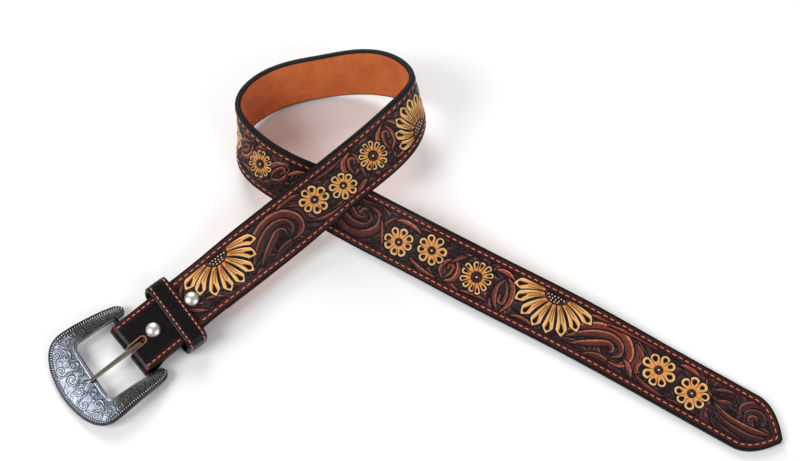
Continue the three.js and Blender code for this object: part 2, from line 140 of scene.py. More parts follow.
# Buckle and tongue, as in the part's source. The tongue is drawn slimmer than the solid
BUCKLE_YAW = -4.0
BUCKLE_OFFSET = -1.5
FRAME_THICKNESS = 3.2
FRAME_SLOPE = 12.0
ARCH_RADIUS = 88.0
WINDOW_HALF_WIDTH = 21.5
WINDOW_LENGTH = 30.5
WINDOW_CORNER = 4.0
ARM_END = -8.0
BAR_RADIUS = 1.8
FRAME_OUTLINE = np.array([
    (-8, 26.5), (-5.5, 29.4), (0, 31.0), (14, 32.8), (28, 34.2),
    (37, 34.2), (43.5, 31.4), (48.5, 25.4), (52.3, 15.5), (54.3, 0),
], dtype=[("ahead", float), ("half_width", float)])
TONGUE_OFFSET = 0.3
TONGUE_SKEW = 4.0
TONGUE_LENGTH = 35.5
TONGUE_ROOT_WIDTH = 3.3
TONGUE_TIP_WIDTH = 2.3
TONGUE_THICKNESS = 2.2
TONGUE_TIP_THICKNESS = 1.8
TONGUE_EYE_INNER = 2.1
TONGUE_EYE_OUTER = 3.5
TONGUE_LIFT = 0.65

# Root of the tongue's rod: sections ahead of the bar, with their lower and upper side and half width
TONGUE_ROOT = np.array([
    (-6.9, 0.9, 2.2, 1.1), (-6.5, 0.5, 2.9, 1.35), (-4.8, 0.8, 3.9, 1.55), (-2.8, 1.6, 4.2, 1.65),
    (-1.0, 2.0, 4.3, 1.65),
], dtype=[("ahead", float), ("low", float), ("high", float), ("half_width", float)])

# The frame's face: its rim, the groove inside that with the rope's bars, and where the front starts
RIM_WIDTH = 1.25
GROOVE_REACH = 3.3
ROPE_INSET = 2.25
ROPE_BAR = (1.8, 0.66, 0.9)
FRONT_FROM = 25.0
FRONT_FADE = 6.0

# How the leather is tooled and the buckle engraved: softness of a step, width of the cut round a blade,
# how far its sides fall and how far it tilts
TOOLING = {"soft": 0.2, "outline": 0.7, "crown": 0.4, "tilt": 0.12}
ENGRAVING = {"soft": 0.12, "outline": 0.2, "crown": 0.09, "tilt": 0.04}

# The two kinds of flower, by their number of petals. The first four are shares of the radius, the two of
# the hole are shares of its size, and heart is the strength of the darker tone round the middle
FLOWER_KINDS = {
    8: {"end_half": 0.265, "hole": 0.136, "middle": 0.22, "gap_from": 0.68, "hole_reach": 0.45,
        "hole_narrow": 0.72, "heart": 1.05, "streaked": True},
    12: {"end_half": 0.18, "hole": 0.085, "middle": 0.3, "gap_from": 0.5, "hole_reach": 2.1,
         "hole_narrow": 0.4, "heart": 1.65, "streaked": False},
}

# Tooling chart: where each motif stands along and across the strap
FLOWERS = np.array([
    (155, 1.8, 10.6, 8, 18, 1), (175, -3.2, 9.6, 8, 20, 1), (202, 0, 10.8, 12, 0, 0.9),
    (283, 0, 10.6, 12, 8, 1), (386, 2.4, 10.3, 8, 10, 1), (409, -2.4, 10.2, 8, 0, 1),
    (437.5, 0, 10.7, 12, 4, 0.8), (541.7, -2.8, 10.2, 8, -2, 1), (563.6, 2.2, 10.5, 8, 22, 1),
    (597, 0, 11.2, 12, 0, 1), (727, 1.4, 11.4, 8, -2, 1.06), (752, -1.6, 11.2, 8, 12, 1.06),
], dtype=[
    ("distance", float), ("across", float), ("radius", float), ("petals", int), ("turn", float),
    ("stretch", float)])
SUNFLOWERS = np.array([
    (82, 1, 1), (239, -1, 0.72), (325, 1, 1), (479, -1, 0.72), (648.5, 1, 1),
], dtype=[("distance", float), ("side", float), ("spread", float)])
SUNFLOWER_EDGE = 12.9
SUNFLOWER_PETALS = np.array([
    (-28.4, 5.4, -1.7), (28.0, 7.4, 1.9), (-23.6, 14.4, -2.2), (21.6, 15.8, 1.8),
    (-15.6, 21.4, -1.5), (13.9, 23.2, 1.2), (-5.9, 25.0, -0.6), (4.2, 25.5, 0.2),
], dtype=[("ahead", float), ("down", float), ("bow", float)])
SUNFLOWER_SEEDS = np.array([
    (-5.4, 1.2), (-3.2, 0.8), (-1.0, 1.0), (1.4, 0.8), (3.6, 1.0), (5.6, 1.3), (-4.0, 2.8), (-1.9, 2.6),
    (0.4, 2.7), (2.7, 2.8), (-2.2, 4.3), (0.2, 4.4), (2.3, 4.2),
], dtype=[("ahead", float), ("down", float)])
SEEDS_EDGE = 12.5
SCROLLS = np.array([
    (122, 1, 0.9), (362, 1, 0.9), (508, -1, 0.85), (690, 1, 1.4),
], dtype=[("distance", float), ("side", float), ("tone", float)])
LEAVES = np.array([
    (188.5, 4.5, 15, 62, 1), (216, 3, 18, 70, 1), (267, 1, 18, -64, -1), (298, 0, 18, 66, 1),
    (423, 2, 16, 66, -1), (451, 2.5, 18, 62, 1), (579, -3.5, 15, 84, -1), (617, -3, 21, -80, 1),
], dtype=[("distance", float), ("across", float), ("length", float), ("turn", float), ("side", float)])

# Plumes of one scroll, about its middle: points along and across, half width, strands and tone
SCROLL_PLUMES = (
    {"line": ((-28, 4), (-18, 9), (-7, 12.4)), "half": 1.9, "strands": 1, "tone": 0.45},
    {"line": ((-14, 7), (-2, 12.6), (12, 12), (25, 7)), "half": 1.7, "strands": 1, "tone": 0.5},
    {"line": ((17, 9), (22.5, 3), (22.5, -4), (27, -12)), "half": 2.4, "strands": 2, "tone": 0.6},
    {"line": ((-28, -11), (-16, -9.5), (-6, -13)), "half": 1.8, "strands": 1, "tone": 0.4},
    {"line": ((-10, -13), (1, -10), (10, -13)), "half": 1.7, "strands": 1, "tone": 0.55},
    {"line": ((-27, -5), (-14, 5.5), (0, 9.6), (11, 7.6), (17, 0), (14.5, -8), (6, -10)),
     "half": 2.6, "strands": 1, "tone": 1.0},
    {"line": ((-25, -8), (-12, 1), (0, 5.2), (8.5, 3.4), (11, -2.5), (7, -6.5)),
     "half": 2.0, "strands": 1, "tone": 0.75},
    {"line": ((-20, -10.5), (-8, -4), (1, 0.4), (5.5, -1.4), (4.5, -4.4)),
     "half": 1.7, "strands": 1, "tone": 0.9},
)

# Plumes that fill the point, measured from the tip
TIP_PLUMES = (
    {"line": ((-50, 9), (-42, 13), (-33, 11), (-31, 4.5), (-37, 2.5)),
     "half": 2.3, "strands": 1, "tone": 0.5},
    {"line": ((-46, 7), (-40, 9), (-36, 6.6)), "half": 1.7, "strands": 1, "tone": 0.35},
    {"line": ((-47, 0.5), (-36, -4.2), (-22, -4.4), (-8, -1)), "half": 2.1, "strands": 1, "tone": 0.9},
    {"line": ((-45, -4.5), (-33, -8.6), (-19, -8.4), (-9, -4)), "half": 2.0, "strands": 1, "tone": 0.6},
    {"line": ((-45, -9), (-34, -13), (-21, -12.8)), "half": 2.1, "strands": 1, "tone": 0.4},
    {"line": ((-31, 1), (-30, 8), (-22, 12.4), (-13, 9.5), (-10, 3.5)),
     "half": 2.3, "strands": 1, "tone": 0.75},
    {"line": ((-27, 0.5), (-26, 5.6), (-20, 8.2), (-15, 5.5), (-15.5, 1.5)),
     "half": 1.7, "strands": 1, "tone": 0.6},
    {"line": ((-24, 0), (-22, 4), (-18.6, 3)), "half": 1.5, "strands": 1, "tone": 0.9},
)

# Light lobes and lines between the motifs, from their root to their end
ACCENTS = np.array([
    (46, -2, 57, -12.4, 2.4, 0.66, -1.2), (60, -6, 71, -12.4, 2.2, 0.62, 1.0),
    (47, 4, 56, 12.2, 2.2, 0.58, 1.2), (63, -3, 76, -9.6, 2.0, 0.55, 1.0),
    (132, 12, 150, 11, 2.2, 0.8, 1.2), (147, -9, 170, -12.6, 2.2, 0.7, -2.5),
    (192, -8, 170, -12.4, 2.4, 0.9, -2.2), (186, 12.4, 160, 12.8, 1.6, 0.6, -1.0),
    (192, 1, 190, -9, 1.8, 0.6, 1.5), (214, -12, 232, -10, 2.4, 0.8, -1.4),
    (228, 3, 222, 12, 2.4, 0.9, 2.0), (425, -11, 446, -12, 2.4, 0.7, 1.6),
    (457, 4, 466, 11, 2.4, 1.3, 1.4), (470, 11, 492, 12.4, 2.2, 0.8, 1.0),
    (532, -9, 524, 6, 2.0, 0.8, 2.0), (535, 9.6, 553, 8.6, 2.6, 1.35, 2.0),
    (552, 12, 572, 12.6, 1.6, 0.8, 1.0), (553, -9, 574, -12.4, 2.4, 0.8, -1.6),
    (586, 9, 578, 1, 2.0, 0.7, 1.4), (607, 10.2, 620, 9, 2.8, 1.3, 1.6),
    (592, -12.4, 610, -11, 1.8, 0.8, 0.8), (628, -12, 644, -12.8, 2.0, 0.9, 1.6),
    (672, 11, 690, 12.6, 2.0, 1.1, 1.0), (686, 11.4, 722, 12.6, 1.6, 1.1, 1.0),
    (705, -4, 714, -12, 2.6, 1.25, 1.2), (716, -9, 738, -12.4, 2.2, 0.7, -1.6),
    (738, 11.6, 752, 10.4, 2.6, 1.2, 1.2), (741, -12.6, 760, -12, 1.6, 0.6, 0.8),
    (763, 4, 756, 12, 2.0, 0.8, -1.6), (764, 8, 776, 12, 2.0, 0.7, 1.0),
], dtype=[
    ("root_distance", float), ("root_across", float), ("end_distance", float), ("end_across", float),
    ("belly", float), ("tone", float), ("bow", float)])

# Volutes engraved on one half of the buckle, from its front to the end of its arm
VOLUTES = np.array([
    (42.5, 4.6, 4.6, 200, 1.25), (36.2, 11.0, 3.7, 60, -1.2), (45.4, 13.4, 4.1, 250, 1.2),
    (37.8, 19.0, 4.2, 20, 1.25), (42.4, 24.2, 3.7, 190, -1.2), (34.4, 27.0, 3.9, 120, 1.2),
    (37.4, 31.0, 2.2, 250, -1.3), (27.6, 29.6, 3.0, 200, 1.4), (22.0, 26.6, 2.7, 20, -1.4),
    (16.4, 28.4, 2.7, 200, 1.4), (10.8, 26.2, 2.6, 20, -1.4), (5.4, 27.6, 2.6, 200, 1.4),
    (0.4, 25.8, 2.4, 20, -1.4), (-4.0, 26.2, 1.8, 200, 1.3),
], dtype=[("ahead", float), ("out", float), ("radius", float), ("start", float), ("turns", float)])

# Stage: the floor, the lamps and a camera at the photograph's angle, in metres, watts and degrees. The
# sensor is in millimetres, the picture and its focal length in pixels
FLOOR_REACH = 6.0
FLOOR_DROP = 0.0002
LAMPS = (
    {"name": "key", "place": (-0.35, 1.25, 0.8), "size": 0.8, "power": 14.5},
    {"name": "fill", "place": (1.0, -0.75, 0.8), "size": 1.0, "power": 8.0},
    {"name": "front", "place": (-1.0, -0.3, 1.0), "size": 0.7, "power": 8.5},
)
DAYLIGHT = 0.34
CAMERA_AWAY = 1.0
CAMERA_RISE = 70.0
SENSOR_WIDTH = 36.0
PICTURE_WIDTH = 800
FOCAL_PIXELS = 1517.0

# Small rounded pieces: their faces round and along, and the step over which a line's run is read
BEAD_SEGMENTS = 8
BEAD_RINGS = 6
RUN_REACH = 0.05


def paint(red, green, blue):
    """The linear colour that Blender takes, from display values of 0 to 255."""
    def linear(value):
        share = value / 255
        return share / 12.92 if share <= 0.04045 else ((share + 0.055) / 1.055) ** 2.4
    return (linear(red), linear(green), linear(blue), 1.0)


def colour_prop(name, description, red, green, blue):
    return bpy.props.FloatVectorProperty(
        name=name, description=description, default=paint(red, green, blue),
        subtype="COLOR", size=4, min=0, max=1,
    )


def length_prop(name, description, millimetres):
    return bpy.props.FloatProperty(
        name=name, description=description, default=millimetres * MM, unit="LENGTH", precision=5, min=0,
    )


class BeltSizes(bpy.types.PropertyGroup):
    """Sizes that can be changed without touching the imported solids."""

    tooling_step: length_prop("Tooling step", "Spacing of the tooled surface's mesh", 0.33)
    tooling_depth: length_prop("Tooling depth", "Depth of the background under the strap's face", 0.75)
    edge_radius: length_prop("Edge radius", "Rounding of the strap's painted edge", 1.1)
    margin_width: length_prop("Margin width", "Width of the black painted margin", 1.75)
    field_inset: length_prop("Field inset", "Distance from the edge to the tooled field", 5.7)
    stitch_inset: length_prop("Stitch inset", "Distance from the edge to the stitches", 3.6)
    stitch_pitch: length_prop("Stitch pitch", "Distance between two stitches", 4.5)
    stitch_length: length_prop("Stitch length", "Length of one stitch", 3.3)
    stitch_width: length_prop("Stitch width", "Thickness of the thread", 0.66)
    rope_pitch: length_prop("Rope pitch", "Distance between two bars of the rope edge", 1.55)
    seed: bpy.props.IntProperty(name="Seed", description="Start of the random draws", default=11)


class BeltColours(bpy.types.PropertyGroup):
    """Colours of the finishes."""

    petal: colour_prop("Petal", "Flower petals", 236, 174, 99)
    petal_rim: colour_prop("Petal rim", "Light outline of a petal", 244, 208, 160)
    petal_heart: colour_prop("Petal heart", "Petals near a flower's middle", 204, 122, 58)
    leaf: colour_prop("Leaf", "Tooled scrolls and leaves", 168, 74, 48)
    leaf_light: colour_prop("Leaf light", "Lit side of a scroll", 218, 142, 108)
    ground: colour_prop("Ground", "Background of the tooling", 54, 24, 24)
    # Cuts and recesses: stain that settles in them, darkened further with painted shade
    cut: colour_prop("Cut", "Cuts and recesses", 21, 9, 9)
    band: colour_prop("Band", "Stitched band along both edges", 84, 30, 24)
    edge: colour_prop("Edge", "Painted edge and margin", 9, 7, 10)
    plain: colour_prop("Plain leather", "Buckle end and keeper", 15, 9, 12)
    # Painted sheen: a bluish-purple tint standing in for the glossy tooling's reflection
    painted_plum_sheen: colour_prop("Plum", "Cool shade of the stained tooling", 58, 38, 48)
    raw: colour_prop("Raw leather", "Cut edge inside the tongue's slot", 196, 134, 102)
    suede: colour_prop("Suede", "Lining", 228, 126, 62)
    thread: colour_prop("Thread", "Stitching", 236, 160, 134)
    fine_thread: colour_prop("Fine thread", "Stitching of the buckle end and keeper", 246, 184, 160)
    seed: colour_prop("Seed", "Beads in the flowers", 236, 214, 190)
    # Painted reflection: brighter silver on the front, a darker tone on the arms, which also darkens
    # stains
    silver: colour_prop("Silver", "Buckle's front", 138, 147, 162)
    dark_reflection_and_stain: colour_prop("Gunmetal", "Buckle's arms", 108, 104, 100)
    tarnish: colour_prop("Tarnish", "Engraved lines", 34, 36, 44)
    tongue: colour_prop("Tongue", "Warm nickel", 136, 129, 116)
    nickel: colour_prop("Nickel", "Screw heads", 232, 231, 227)
    rope: colour_prop("Rope", "Bars along the buckle's rim", 222, 226, 232)
    floor: colour_prop("Floor", "Table under the belt", 253, 253, 253)


def sizes():
    return bpy.context.scene.belt_sizes


def colours():
    return bpy.context.scene.belt_colours


# Geometry of the strap

def cubic_spline(knots, values, start_slope=None, end_slope=None):
    """Cubic spline through values at knots. A slope fixes an end, None leaves it free."""
    count = len(knots)
    run = np.diff(knots)
    rise = np.diff(values) / run
    matrix = np.zeros((count, count))
    right = np.zeros(count)
    matrix[0, 0] = matrix[-1, -1] = 1
    for i in range(1, count - 1):
        matrix[i, i - 1:i + 2] = run[i - 1], 2 * (run[i - 1] + run[i]), run[i]
        right[i] = 6 * (rise[i] - rise[i - 1])
    if start_slope is not None:
        matrix[0, :2] = 2 * run[0], run[0]
        right[0] = 6 * (rise[0] - start_slope)
    if end_slope is not None:
        matrix[-1, -2:] = run[-1], 2 * run[-1]
        right[-1] = 6 * (end_slope - rise[-1])
    bends = np.linalg.solve(matrix, right)

    def at(places):
        i = np.clip(np.searchsorted(knots, places, "left") - 1, 0, count - 2)
        a = (knots[i + 1] - places) / run[i]
        b = (places - knots[i]) / run[i]
        cubic = ((a ** 3 - a) * bends[i] + (b ** 3 - b) * bends[i + 1]) * run[i] ** 2 / 6
        return a * values[i] + b * values[i + 1] + cubic
    return at


def unit(vectors):
    return vectors / np.linalg.norm(vectors, axis=-1, keepdims=True)


def lengths_along(line):
    """How far along a line each of its points lies."""
    return np.concatenate([[0], np.cumsum(np.linalg.norm(np.diff(line, axis=0), axis=1))])


def points_at(line, travelled, at):
    """Points of a line at the given lengths along it."""
    return np.stack([np.interp(at, travelled, line[:, i]) for i in range(line.shape[1])], 1)


def in_axes(axes, points):
    """Points along, across and up, set in the frame that an origin and three axes give."""
    origin, ahead, sideways, up = axes
    return origin + points[..., :1] * ahead + points[..., 1:2] * sideways + points[..., 2:] * up


class Strap:
    """Middle line of the strap, with the directions along it, across it and out of its face."""

    SAMPLES = 6000
    TANGENT_REACH = 0.01

    def __init__(self):
        places = np.stack([ROUTE["x"], ROUTE["y"], ROUTE["z"]], 1)
        self.knots = lengths_along(places)
        self.lines = [
            cubic_spline(self.knots, ROUTE["x"]), cubic_spline(self.knots, ROUTE["y"]),
            cubic_spline(self.knots, ROUTE["z"], end_slope=0),
        ]
        self.lean = cubic_spline(self.knots, ROUTE["lean"], start_slope=0, end_slope=0)
        self.inputs = np.linspace(0, self.knots[-1], self.SAMPLES)
        self.travelled = lengths_along(self.place(self.inputs))
        self.length = BUCKLE_END + self.travelled[-1] + TIP_END

    def place(self, inputs):
        return np.stack([line(inputs) for line in self.lines], -1)

    def axes(self, distance):
        """Middle, along, across and face at each distance from the fold."""
        inside = np.asarray(distance, float) - BUCKLE_END
        held = np.clip(inside, 0, self.travelled[-1])
        inputs = np.interp(held, self.travelled, self.inputs)
        low = np.maximum(inputs - self.TANGENT_REACH, 0)
        high = np.minimum(inputs + self.TANGENT_REACH, self.knots[-1])
        along = unit(self.place(high) - self.place(low))
        middle = self.place(inputs) + along * (inside - held)[..., None] - FOOTPRINT_MIDDLE
        level = unit(np.cross([0.0, 0.0, 1.0], along))
        upright = np.cross(along, level)
        angle = np.radians(self.lean(inputs))[..., None]
        across = np.cos(angle) * level + np.sin(angle) * upright
        face = np.cos(angle) * upright - np.sin(angle) * level
        return middle, along, across, face

    def axes_at(self, distance):
        """The same at one distance."""
        return [values[0] for values in self.axes(np.array([distance]))]

    def points(self, distance, across, up):
        distance, across, up = np.broadcast_arrays(
            np.asarray(distance, float), np.asarray(across, float), np.asarray(up, float))
        middle, _, sideways, face = self.axes(distance)
        return middle + sideways * across[..., None] + face * up[..., None]

    def half_width(self, distance):
        share = np.clip((self.length - np.asarray(distance, float)) / POINT_LENGTH, 0, 1)
        fullness = 1 - (1 - share) ** SHOULDER_POWER
        return POINT_HALF_WIDTH + (STRAP_WIDTH / 2 - POINT_HALF_WIDTH) * fullness

    def edge_distance(self, distance, across):
        """How far inside the strap's outline each point of its face is."""
        inset = STRAP_WIDTH / 2 - np.abs(across)
        near_tip = np.nonzero(distance > self.length - 1.8 * POINT_LENGTH)[0]
        if len(near_tip):
            outline = np.linspace(self.length - 2.4 * POINT_LENGTH, self.length, 160)
            edge = np.stack([outline, self.half_width(outline)], 1)
            edge = np.vstack([edge, [self.length, 0.0]])
            found, _, _ = from_line(distance[near_tip], np.abs(across[near_tip]), edge)
            inset[near_tip] = found
        return inset


strap = Strap()


# Lines and relief

def smooth_line(points, steps=8):
    """Points of a smooth line through a few set ones."""
    points = np.array(points, float)
    if len(points) == 3:
        share = np.linspace(0, 1, 2 * steps + 1)[:, None]
        control = 2 * points[1] - (points[0] + points[2]) / 2
        return (1 - share) ** 2 * points[0] + 2 * share * (1 - share) * control + share ** 2 * points[2]
    padded = np.vstack([2 * points[0] - points[1], points, 2 * points[-1] - points[-2]])
    share = np.linspace(0, 1, steps, endpoint=False)[:, None]
    pieces = []
    for before, start, end, after in zip(padded, padded[1:], padded[2:], padded[3:]):
        pieces.append(0.5 * (
            2 * start + (end - before) * share + (2 * before - 5 * start + 4 * end - after) * share ** 2
            + (3 * start - before - 3 * end + after) * share ** 3))
    return np.vstack([*pieces, points[-1:]])


def from_line(x, y, line):
    """Distance of each point from a line, how far along it lies as a share, and on which side."""
    start, step = line[:-1], np.diff(line, axis=0)
    length = np.hypot(step[:, 0], step[:, 1])
    away_x = x[:, None] - start[:, 0]
    away_y = y[:, None] - start[:, 1]
    share = np.clip((away_x * step[:, 0] + away_y * step[:, 1]) / length ** 2, 0, 1)
    distance = np.hypot(away_x - share * step[:, 0], away_y - share * step[:, 1])
    nearest = distance.argmin(1)
    rows = np.arange(len(x))
    turned = step[nearest, 0] * away_y[rows, nearest] - step[nearest, 1] * away_x[rows, nearest]
    travelled = np.concatenate([[0], np.cumsum(length)])
    along = (travelled[nearest] + share[rows, nearest] * length[nearest]) / travelled[-1]
    return distance[rows, nearest], along, np.sign(turned)


def bump_at(value, middle, width):
    """A smooth hill from 0 to 1 and back over a value."""
    return np.exp(-((value - middle) / width) ** 2)


def from_drop(u, v, start, end, start_radius, end_radius):
    """Distance of each point from a drop that lies along u, negative inside it."""
    share = np.clip((u - start) / (end - start), 0, 1)
    radius = start_radius + (end_radius - start_radius) * share
    return np.hypot(u - start - share * (end - start), v) - radius


class Relief:
    """Height and paint over flat points. Each motif covers what was there before it."""

    # One layer holds a painted highlight: a lighter stripe along one side of each blade and on the
    # buckle's raised lines
    LAYERS = ("petal", "rim", "heart", "leaf", "shine", "cut")
    VEINS = (-0.66, -0.2, 0.26)
    DENSE_LINE = 9

    def __init__(self, x, y, ground, soft, outline, crown, tilt):
        self.x = x
        self.y = y
        self.ground = ground
        self.soft = soft
        self.outline = outline
        self.crown = crown
        self.tilt = tilt
        self.height = np.full(x.shape, ground, float)
        self.paint = {layer: np.zeros(x.shape) for layer in self.LAYERS}

    def near(self, low, high):
        """Which points lie in a rectangle."""
        inside = (self.x > low[0]) & (self.x < high[0]) & (self.y > low[1]) & (self.y < high[1])
        return np.nonzero(inside)[0]

    def lay(self, where, distance, height, **paint):
        """Covers the points where distance is negative with a height and its paint."""
        share = np.clip(0.5 - distance / (2 * self.soft), 0, 1)
        self.height[where] += (height - self.height[where]) * share
        for layer, values in self.paint.items():
            values[where] += (paint.get(layer, 0.0) - values[where]) * share

    def stroke(self, line, widths, tone, level=0.0, outline=None, tilt=0.0, vein=0.0):
        """A raised blade along a line, with its half widths at root, belly and tip, and a cut along it."""
        line = smooth_line(line) if len(line) < self.DENSE_LINE else line
        root, belly, tip = widths
        reach = max(widths) + 1.5
        where = self.near(line.min(0) - reach, line.max(0) + reach)
        if not len(where):
            return
        distance, share, side = from_line(self.x[where], self.y[where], line)
        half = (1 - share) ** 2 * root + 2 * share * (1 - share) * belly + share ** 2 * tip
        away = np.clip(distance / np.maximum(half, 0.05), 0, 1)
        round_top = np.sqrt(1 - away ** 2)
        # Painted shade: the blade's colour falls from its crown towards its edges
        leaf = tone * (0.1 + 0.9 * round_top)
        # Painted highlight: a lighter stripe along one side of the blade
        shine = tone * bump_at(away * side, 0.66, 0.24)
        fine = 0.24 / np.maximum(half, 0.3)
        scored = sum(bump_at(away * side, place, fine) for place in self.VEINS)
        scored = vein * np.clip(scored, 0, 1) * (share > 0.1) * (share < 0.86)
        height = level - self.crown * (1 - round_top) + tilt * away * side - 0.4 * self.crown * scored
        rim = self.outline if outline is None else outline
        self.lay(where, distance - half - rim, self.ground, cut=1.0)
        self.lay(where, distance - half, height, leaf=leaf, shine=shine * (1 - scored), cut=0.8 * scored)

    def plume(self, line, half, strands, tone, level=0.0):
        """A leafy blade of strands that part along its belly and overlap like shingles."""
        line = smooth_line(line)
        run = unit(np.gradient(line, axis=0))
        normal = np.stack([-run[:, 1], run[:, 0]], 1)
        spread = np.sin(np.pi * np.linspace(0, 1, len(line)) ** 0.85)[:, None] ** 0.8
        places = np.linspace(-0.62, 0.62, strands) if strands > 1 else [0.0]
        belly = 2.4 * half / strands
        for number, place in enumerate(places):
            strand = line + normal * spread * half * place
            share = number / max(strands - 1, 1)
            self.stroke(
                strand, (0.35, belly, 0.3), tone * (0.7 + 0.3 * share), level=level, tilt=self.tilt,
                outline=self.outline * (1.0 if number == 0 else 0.5), vein=0.9 if strands == 1 else 0.0)

    def fill(self, low, high, spacing, length, half, random, tones=(0.0, 0.7)):
        """Overlapping plumes that cover a field, on a jittered lattice."""
        span = (self.x.min() - 2 * length, self.x.max() + 2 * length)
        for x in np.arange(low[0], high[0], spacing[0]):
            for y in np.arange(low[1], high[1], spacing[1]):
                jitter, swing, stretch, bow, way, belly, tone = random.uniform(-1, 1, 7)
                if not span[0] < x < span[1]:
                    continue
                start = np.array([x + 0.4 * jitter * spacing[0], y + 0.4 * swing * spacing[1]])
                heading = 0.8 * math.sin(x / 6.1 + 0.13 * y) + 0.5 * swing
                reach = length * (1 + 0.25 * stretch)
                bend = (0.2 + 0.12 * abs(bow)) * reach * math.copysign(1, way)
                run = np.array([math.cos(heading), math.sin(heading)])
                across = np.array([-run[1], run[0]])
                line = (start, start + run * reach * 0.5 + across * bend, start + run * reach)
                self.plume(line, half * (1 + 0.3 * belly), 1 + (stretch > -0.2),
                           tones[0] + (tones[1] - tones[0]) * (tone + 1) / 2, 0.25 * self.ground)

    def flower(self, x, y, radius, petals, turn, stretch):
        """A whole flower seen from above, with drop-shaped holes in its petals and a dark middle."""
        random = np.random.default_rng(int(x))
        kind = FLOWER_KINDS[petals]
        middle, gap_from = kind["middle"], kind["gap_from"]
        where = self.near((x - radius - 3, y - radius - 3), (x + radius + 3, y + radius + 3))
        if not len(where):
            return
        dx, dy = (self.x[where] - x) / stretch, self.y[where] - y
        out = np.hypot(dx, dy) / radius

        def turned(angle):
            """Places along and across one petal."""
            cos, sin = math.cos(angle), math.sin(angle)
            return dx * cos + dy * sin, dy * cos - dx * sin
        sways, reaches, bulks, hole_sizes = random.uniform(-1, 1, (4, petals))
        angles = math.radians(turn) + 2 * math.pi * (np.arange(petals) + 0.15 * sways) / petals
        halfway = (angles + np.append(angles[1:], angles[0] + 2 * math.pi)) / 2
        rows = []
        for angle, reach, bulk, size in zip(angles, reaches, bulks, hole_sizes):
            u, v = turned(angle)
            bulk = kind["end_half"] * (1 + 0.1 * bulk)
            end = (0.96 + 0.06 * reach - bulk) * radius
            petal = from_drop(u, v, 0.2 * radius, end, 0.15 * radius, bulk * radius)
            rows.append((u, v, petal, end, kind["hole"] * (1 + 0.12 * size) * radius))
        for _, _, petal, _, _ in rows:
            self.lay(where, petal - self.outline, self.ground, cut=1.0)
        heart = np.clip(kind["heart"] - 2.4 * out, 0, 1)
        if kind["streaked"]:
            around = np.arctan2(dy, dx) - math.radians(turn)
            streaks = 0.5 + 0.5 * np.cos(2 * petals * around + 2.5 * out)
            heart = np.maximum(heart, 0.75 * streaks * np.clip(2.6 - 3 * out, 0, 1))
        for _, _, petal, _, _ in rows:
            rim = bump_at(petal, -0.3, 0.42) * np.clip(4 * out - 2, 0, 1)
            self.lay(where, petal, -0.12 + 0.32 * out ** 2, petal=1.0, rim=rim, heart=heart)
        for angle in halfway:
            u, v = turned(angle)
            score = from_drop(u, v, 0.3 * radius, gap_from * radius, 0.06, 0.2)
            self.lay(where, score, -0.3, cut=0.95)
            gap = from_drop(u, v, gap_from * radius, 0.86 * radius, 0.18, 0.06 * radius)
            self.lay(where, gap, self.ground, cut=1.0)
        for u, v, _, end, size in rows:
            if kind["streaked"]:
                self.lay(where, from_drop(u, v, 0.5 * radius, end, 0.05, 0.26), -0.2, cut=0.75)
            drop = from_drop(u, v, end - kind["hole_reach"] * size, end, kind["hole_narrow"] * size, size)
            self.lay(where, drop, self.ground - 0.1, cut=1.0)
        ring = bump_at(out, middle * 0.7, middle * 0.22)
        away = (out - middle) * radius
        self.lay(where, away - 0.4, self.ground, cut=1.0)
        self.lay(where, away, -0.25 + 0.4 * ring, cut=1 - 0.5 * ring, leaf=0.7 * ring)

    def sunflower(self, x, side, spread):
        """Half a sunflower that opens from one edge of the field."""
        edge = side * SUNFLOWER_EDGE
        widest, hole_from, hole_reach = 0.78, 0.65, 0.18
        disc_length, disc_height = 7.6, 5.9
        wide = 0.7 + 0.3 * spread
        for row in SUNFLOWER_PETALS:
            ahead = row["ahead"] * spread
            tip = np.array([x + ahead, edge - side * row["down"]])
            outward = np.array([ahead, -side * row["down"]]) / math.hypot(ahead, row["down"])
            start = np.array([x, edge]) + outward * 4.8
            across = np.array([-outward[1], outward[0]])
            line = smooth_line((start, (start + tip) / 2 + across * row["bow"] * side, tip), 8)
            where = self.near(line.min(0) - 5, line.max(0) + 5)
            if not len(where):
                continue
            distance, share, way = from_line(self.x[where], self.y[where], line)
            swell = np.clip(share / widest, 0, 1)
            fall = np.clip((share - widest) / (1 - widest), 0, 1)
            half = wide * (1.0 + 2.65 * swell ** 1.3) * (1 - fall ** 1.35)
            signed = distance * way
            cut = bump_at(signed, 0.5 * half, 0.34) * (share > 0.14) * (share < 0.6)
            cut += bump_at(signed, -0.2 * half, 0.36) * (share > 0.22) * (share < 0.72)
            rim = bump_at(distance - half, -0.3, 0.5) * np.clip(4 * share - 1.2, 0, 1)
            height = 0.1 + 0.2 * share - 0.25 * (distance / np.maximum(half, 0.3)) ** 2 - 0.3 * cut
            self.lay(where, distance - half - 0.72, self.ground, cut=1.0)
            self.lay(where, distance - half, height, petal=1.0, rim=rim,
                     heart=np.clip(0.85 - 1.5 * share, 0, 1), cut=cut)
            reach = np.clip((share - hole_from) / hole_reach, 0, 1)
            length = math.hypot(*(tip - start))
            drop = np.hypot((share - hole_from - reach * hole_reach) * length, distance)
            self.lay(where, drop - wide * (0.4 + 1.1 * reach), self.ground, cut=1.0)
        where = self.near((x - 11, edge - 9), (x + 11, edge + 9))
        from_disc = np.hypot((self.x[where] - x) / disc_length, (self.y[where] - edge) / disc_height)
        disc = (from_disc - 1) * disc_height
        self.lay(where, disc - 0.5, self.ground, cut=1.0)
        ring = bump_at(disc, -0.3, 0.45)
        self.lay(where, disc, -0.25 + 0.3 * ring, leaf=0.7 * ring, cut=0.75 * (1 - ring))

    def leaf(self, x, y, length, turn, side):
        """An almond leaf: light crescents round a dark body with a curl."""
        run = np.array([math.cos(math.radians(turn)), math.sin(math.radians(turn))])
        across = np.array([-run[1], run[0]]) * side
        root = np.array([x, y]) - run * length / 2

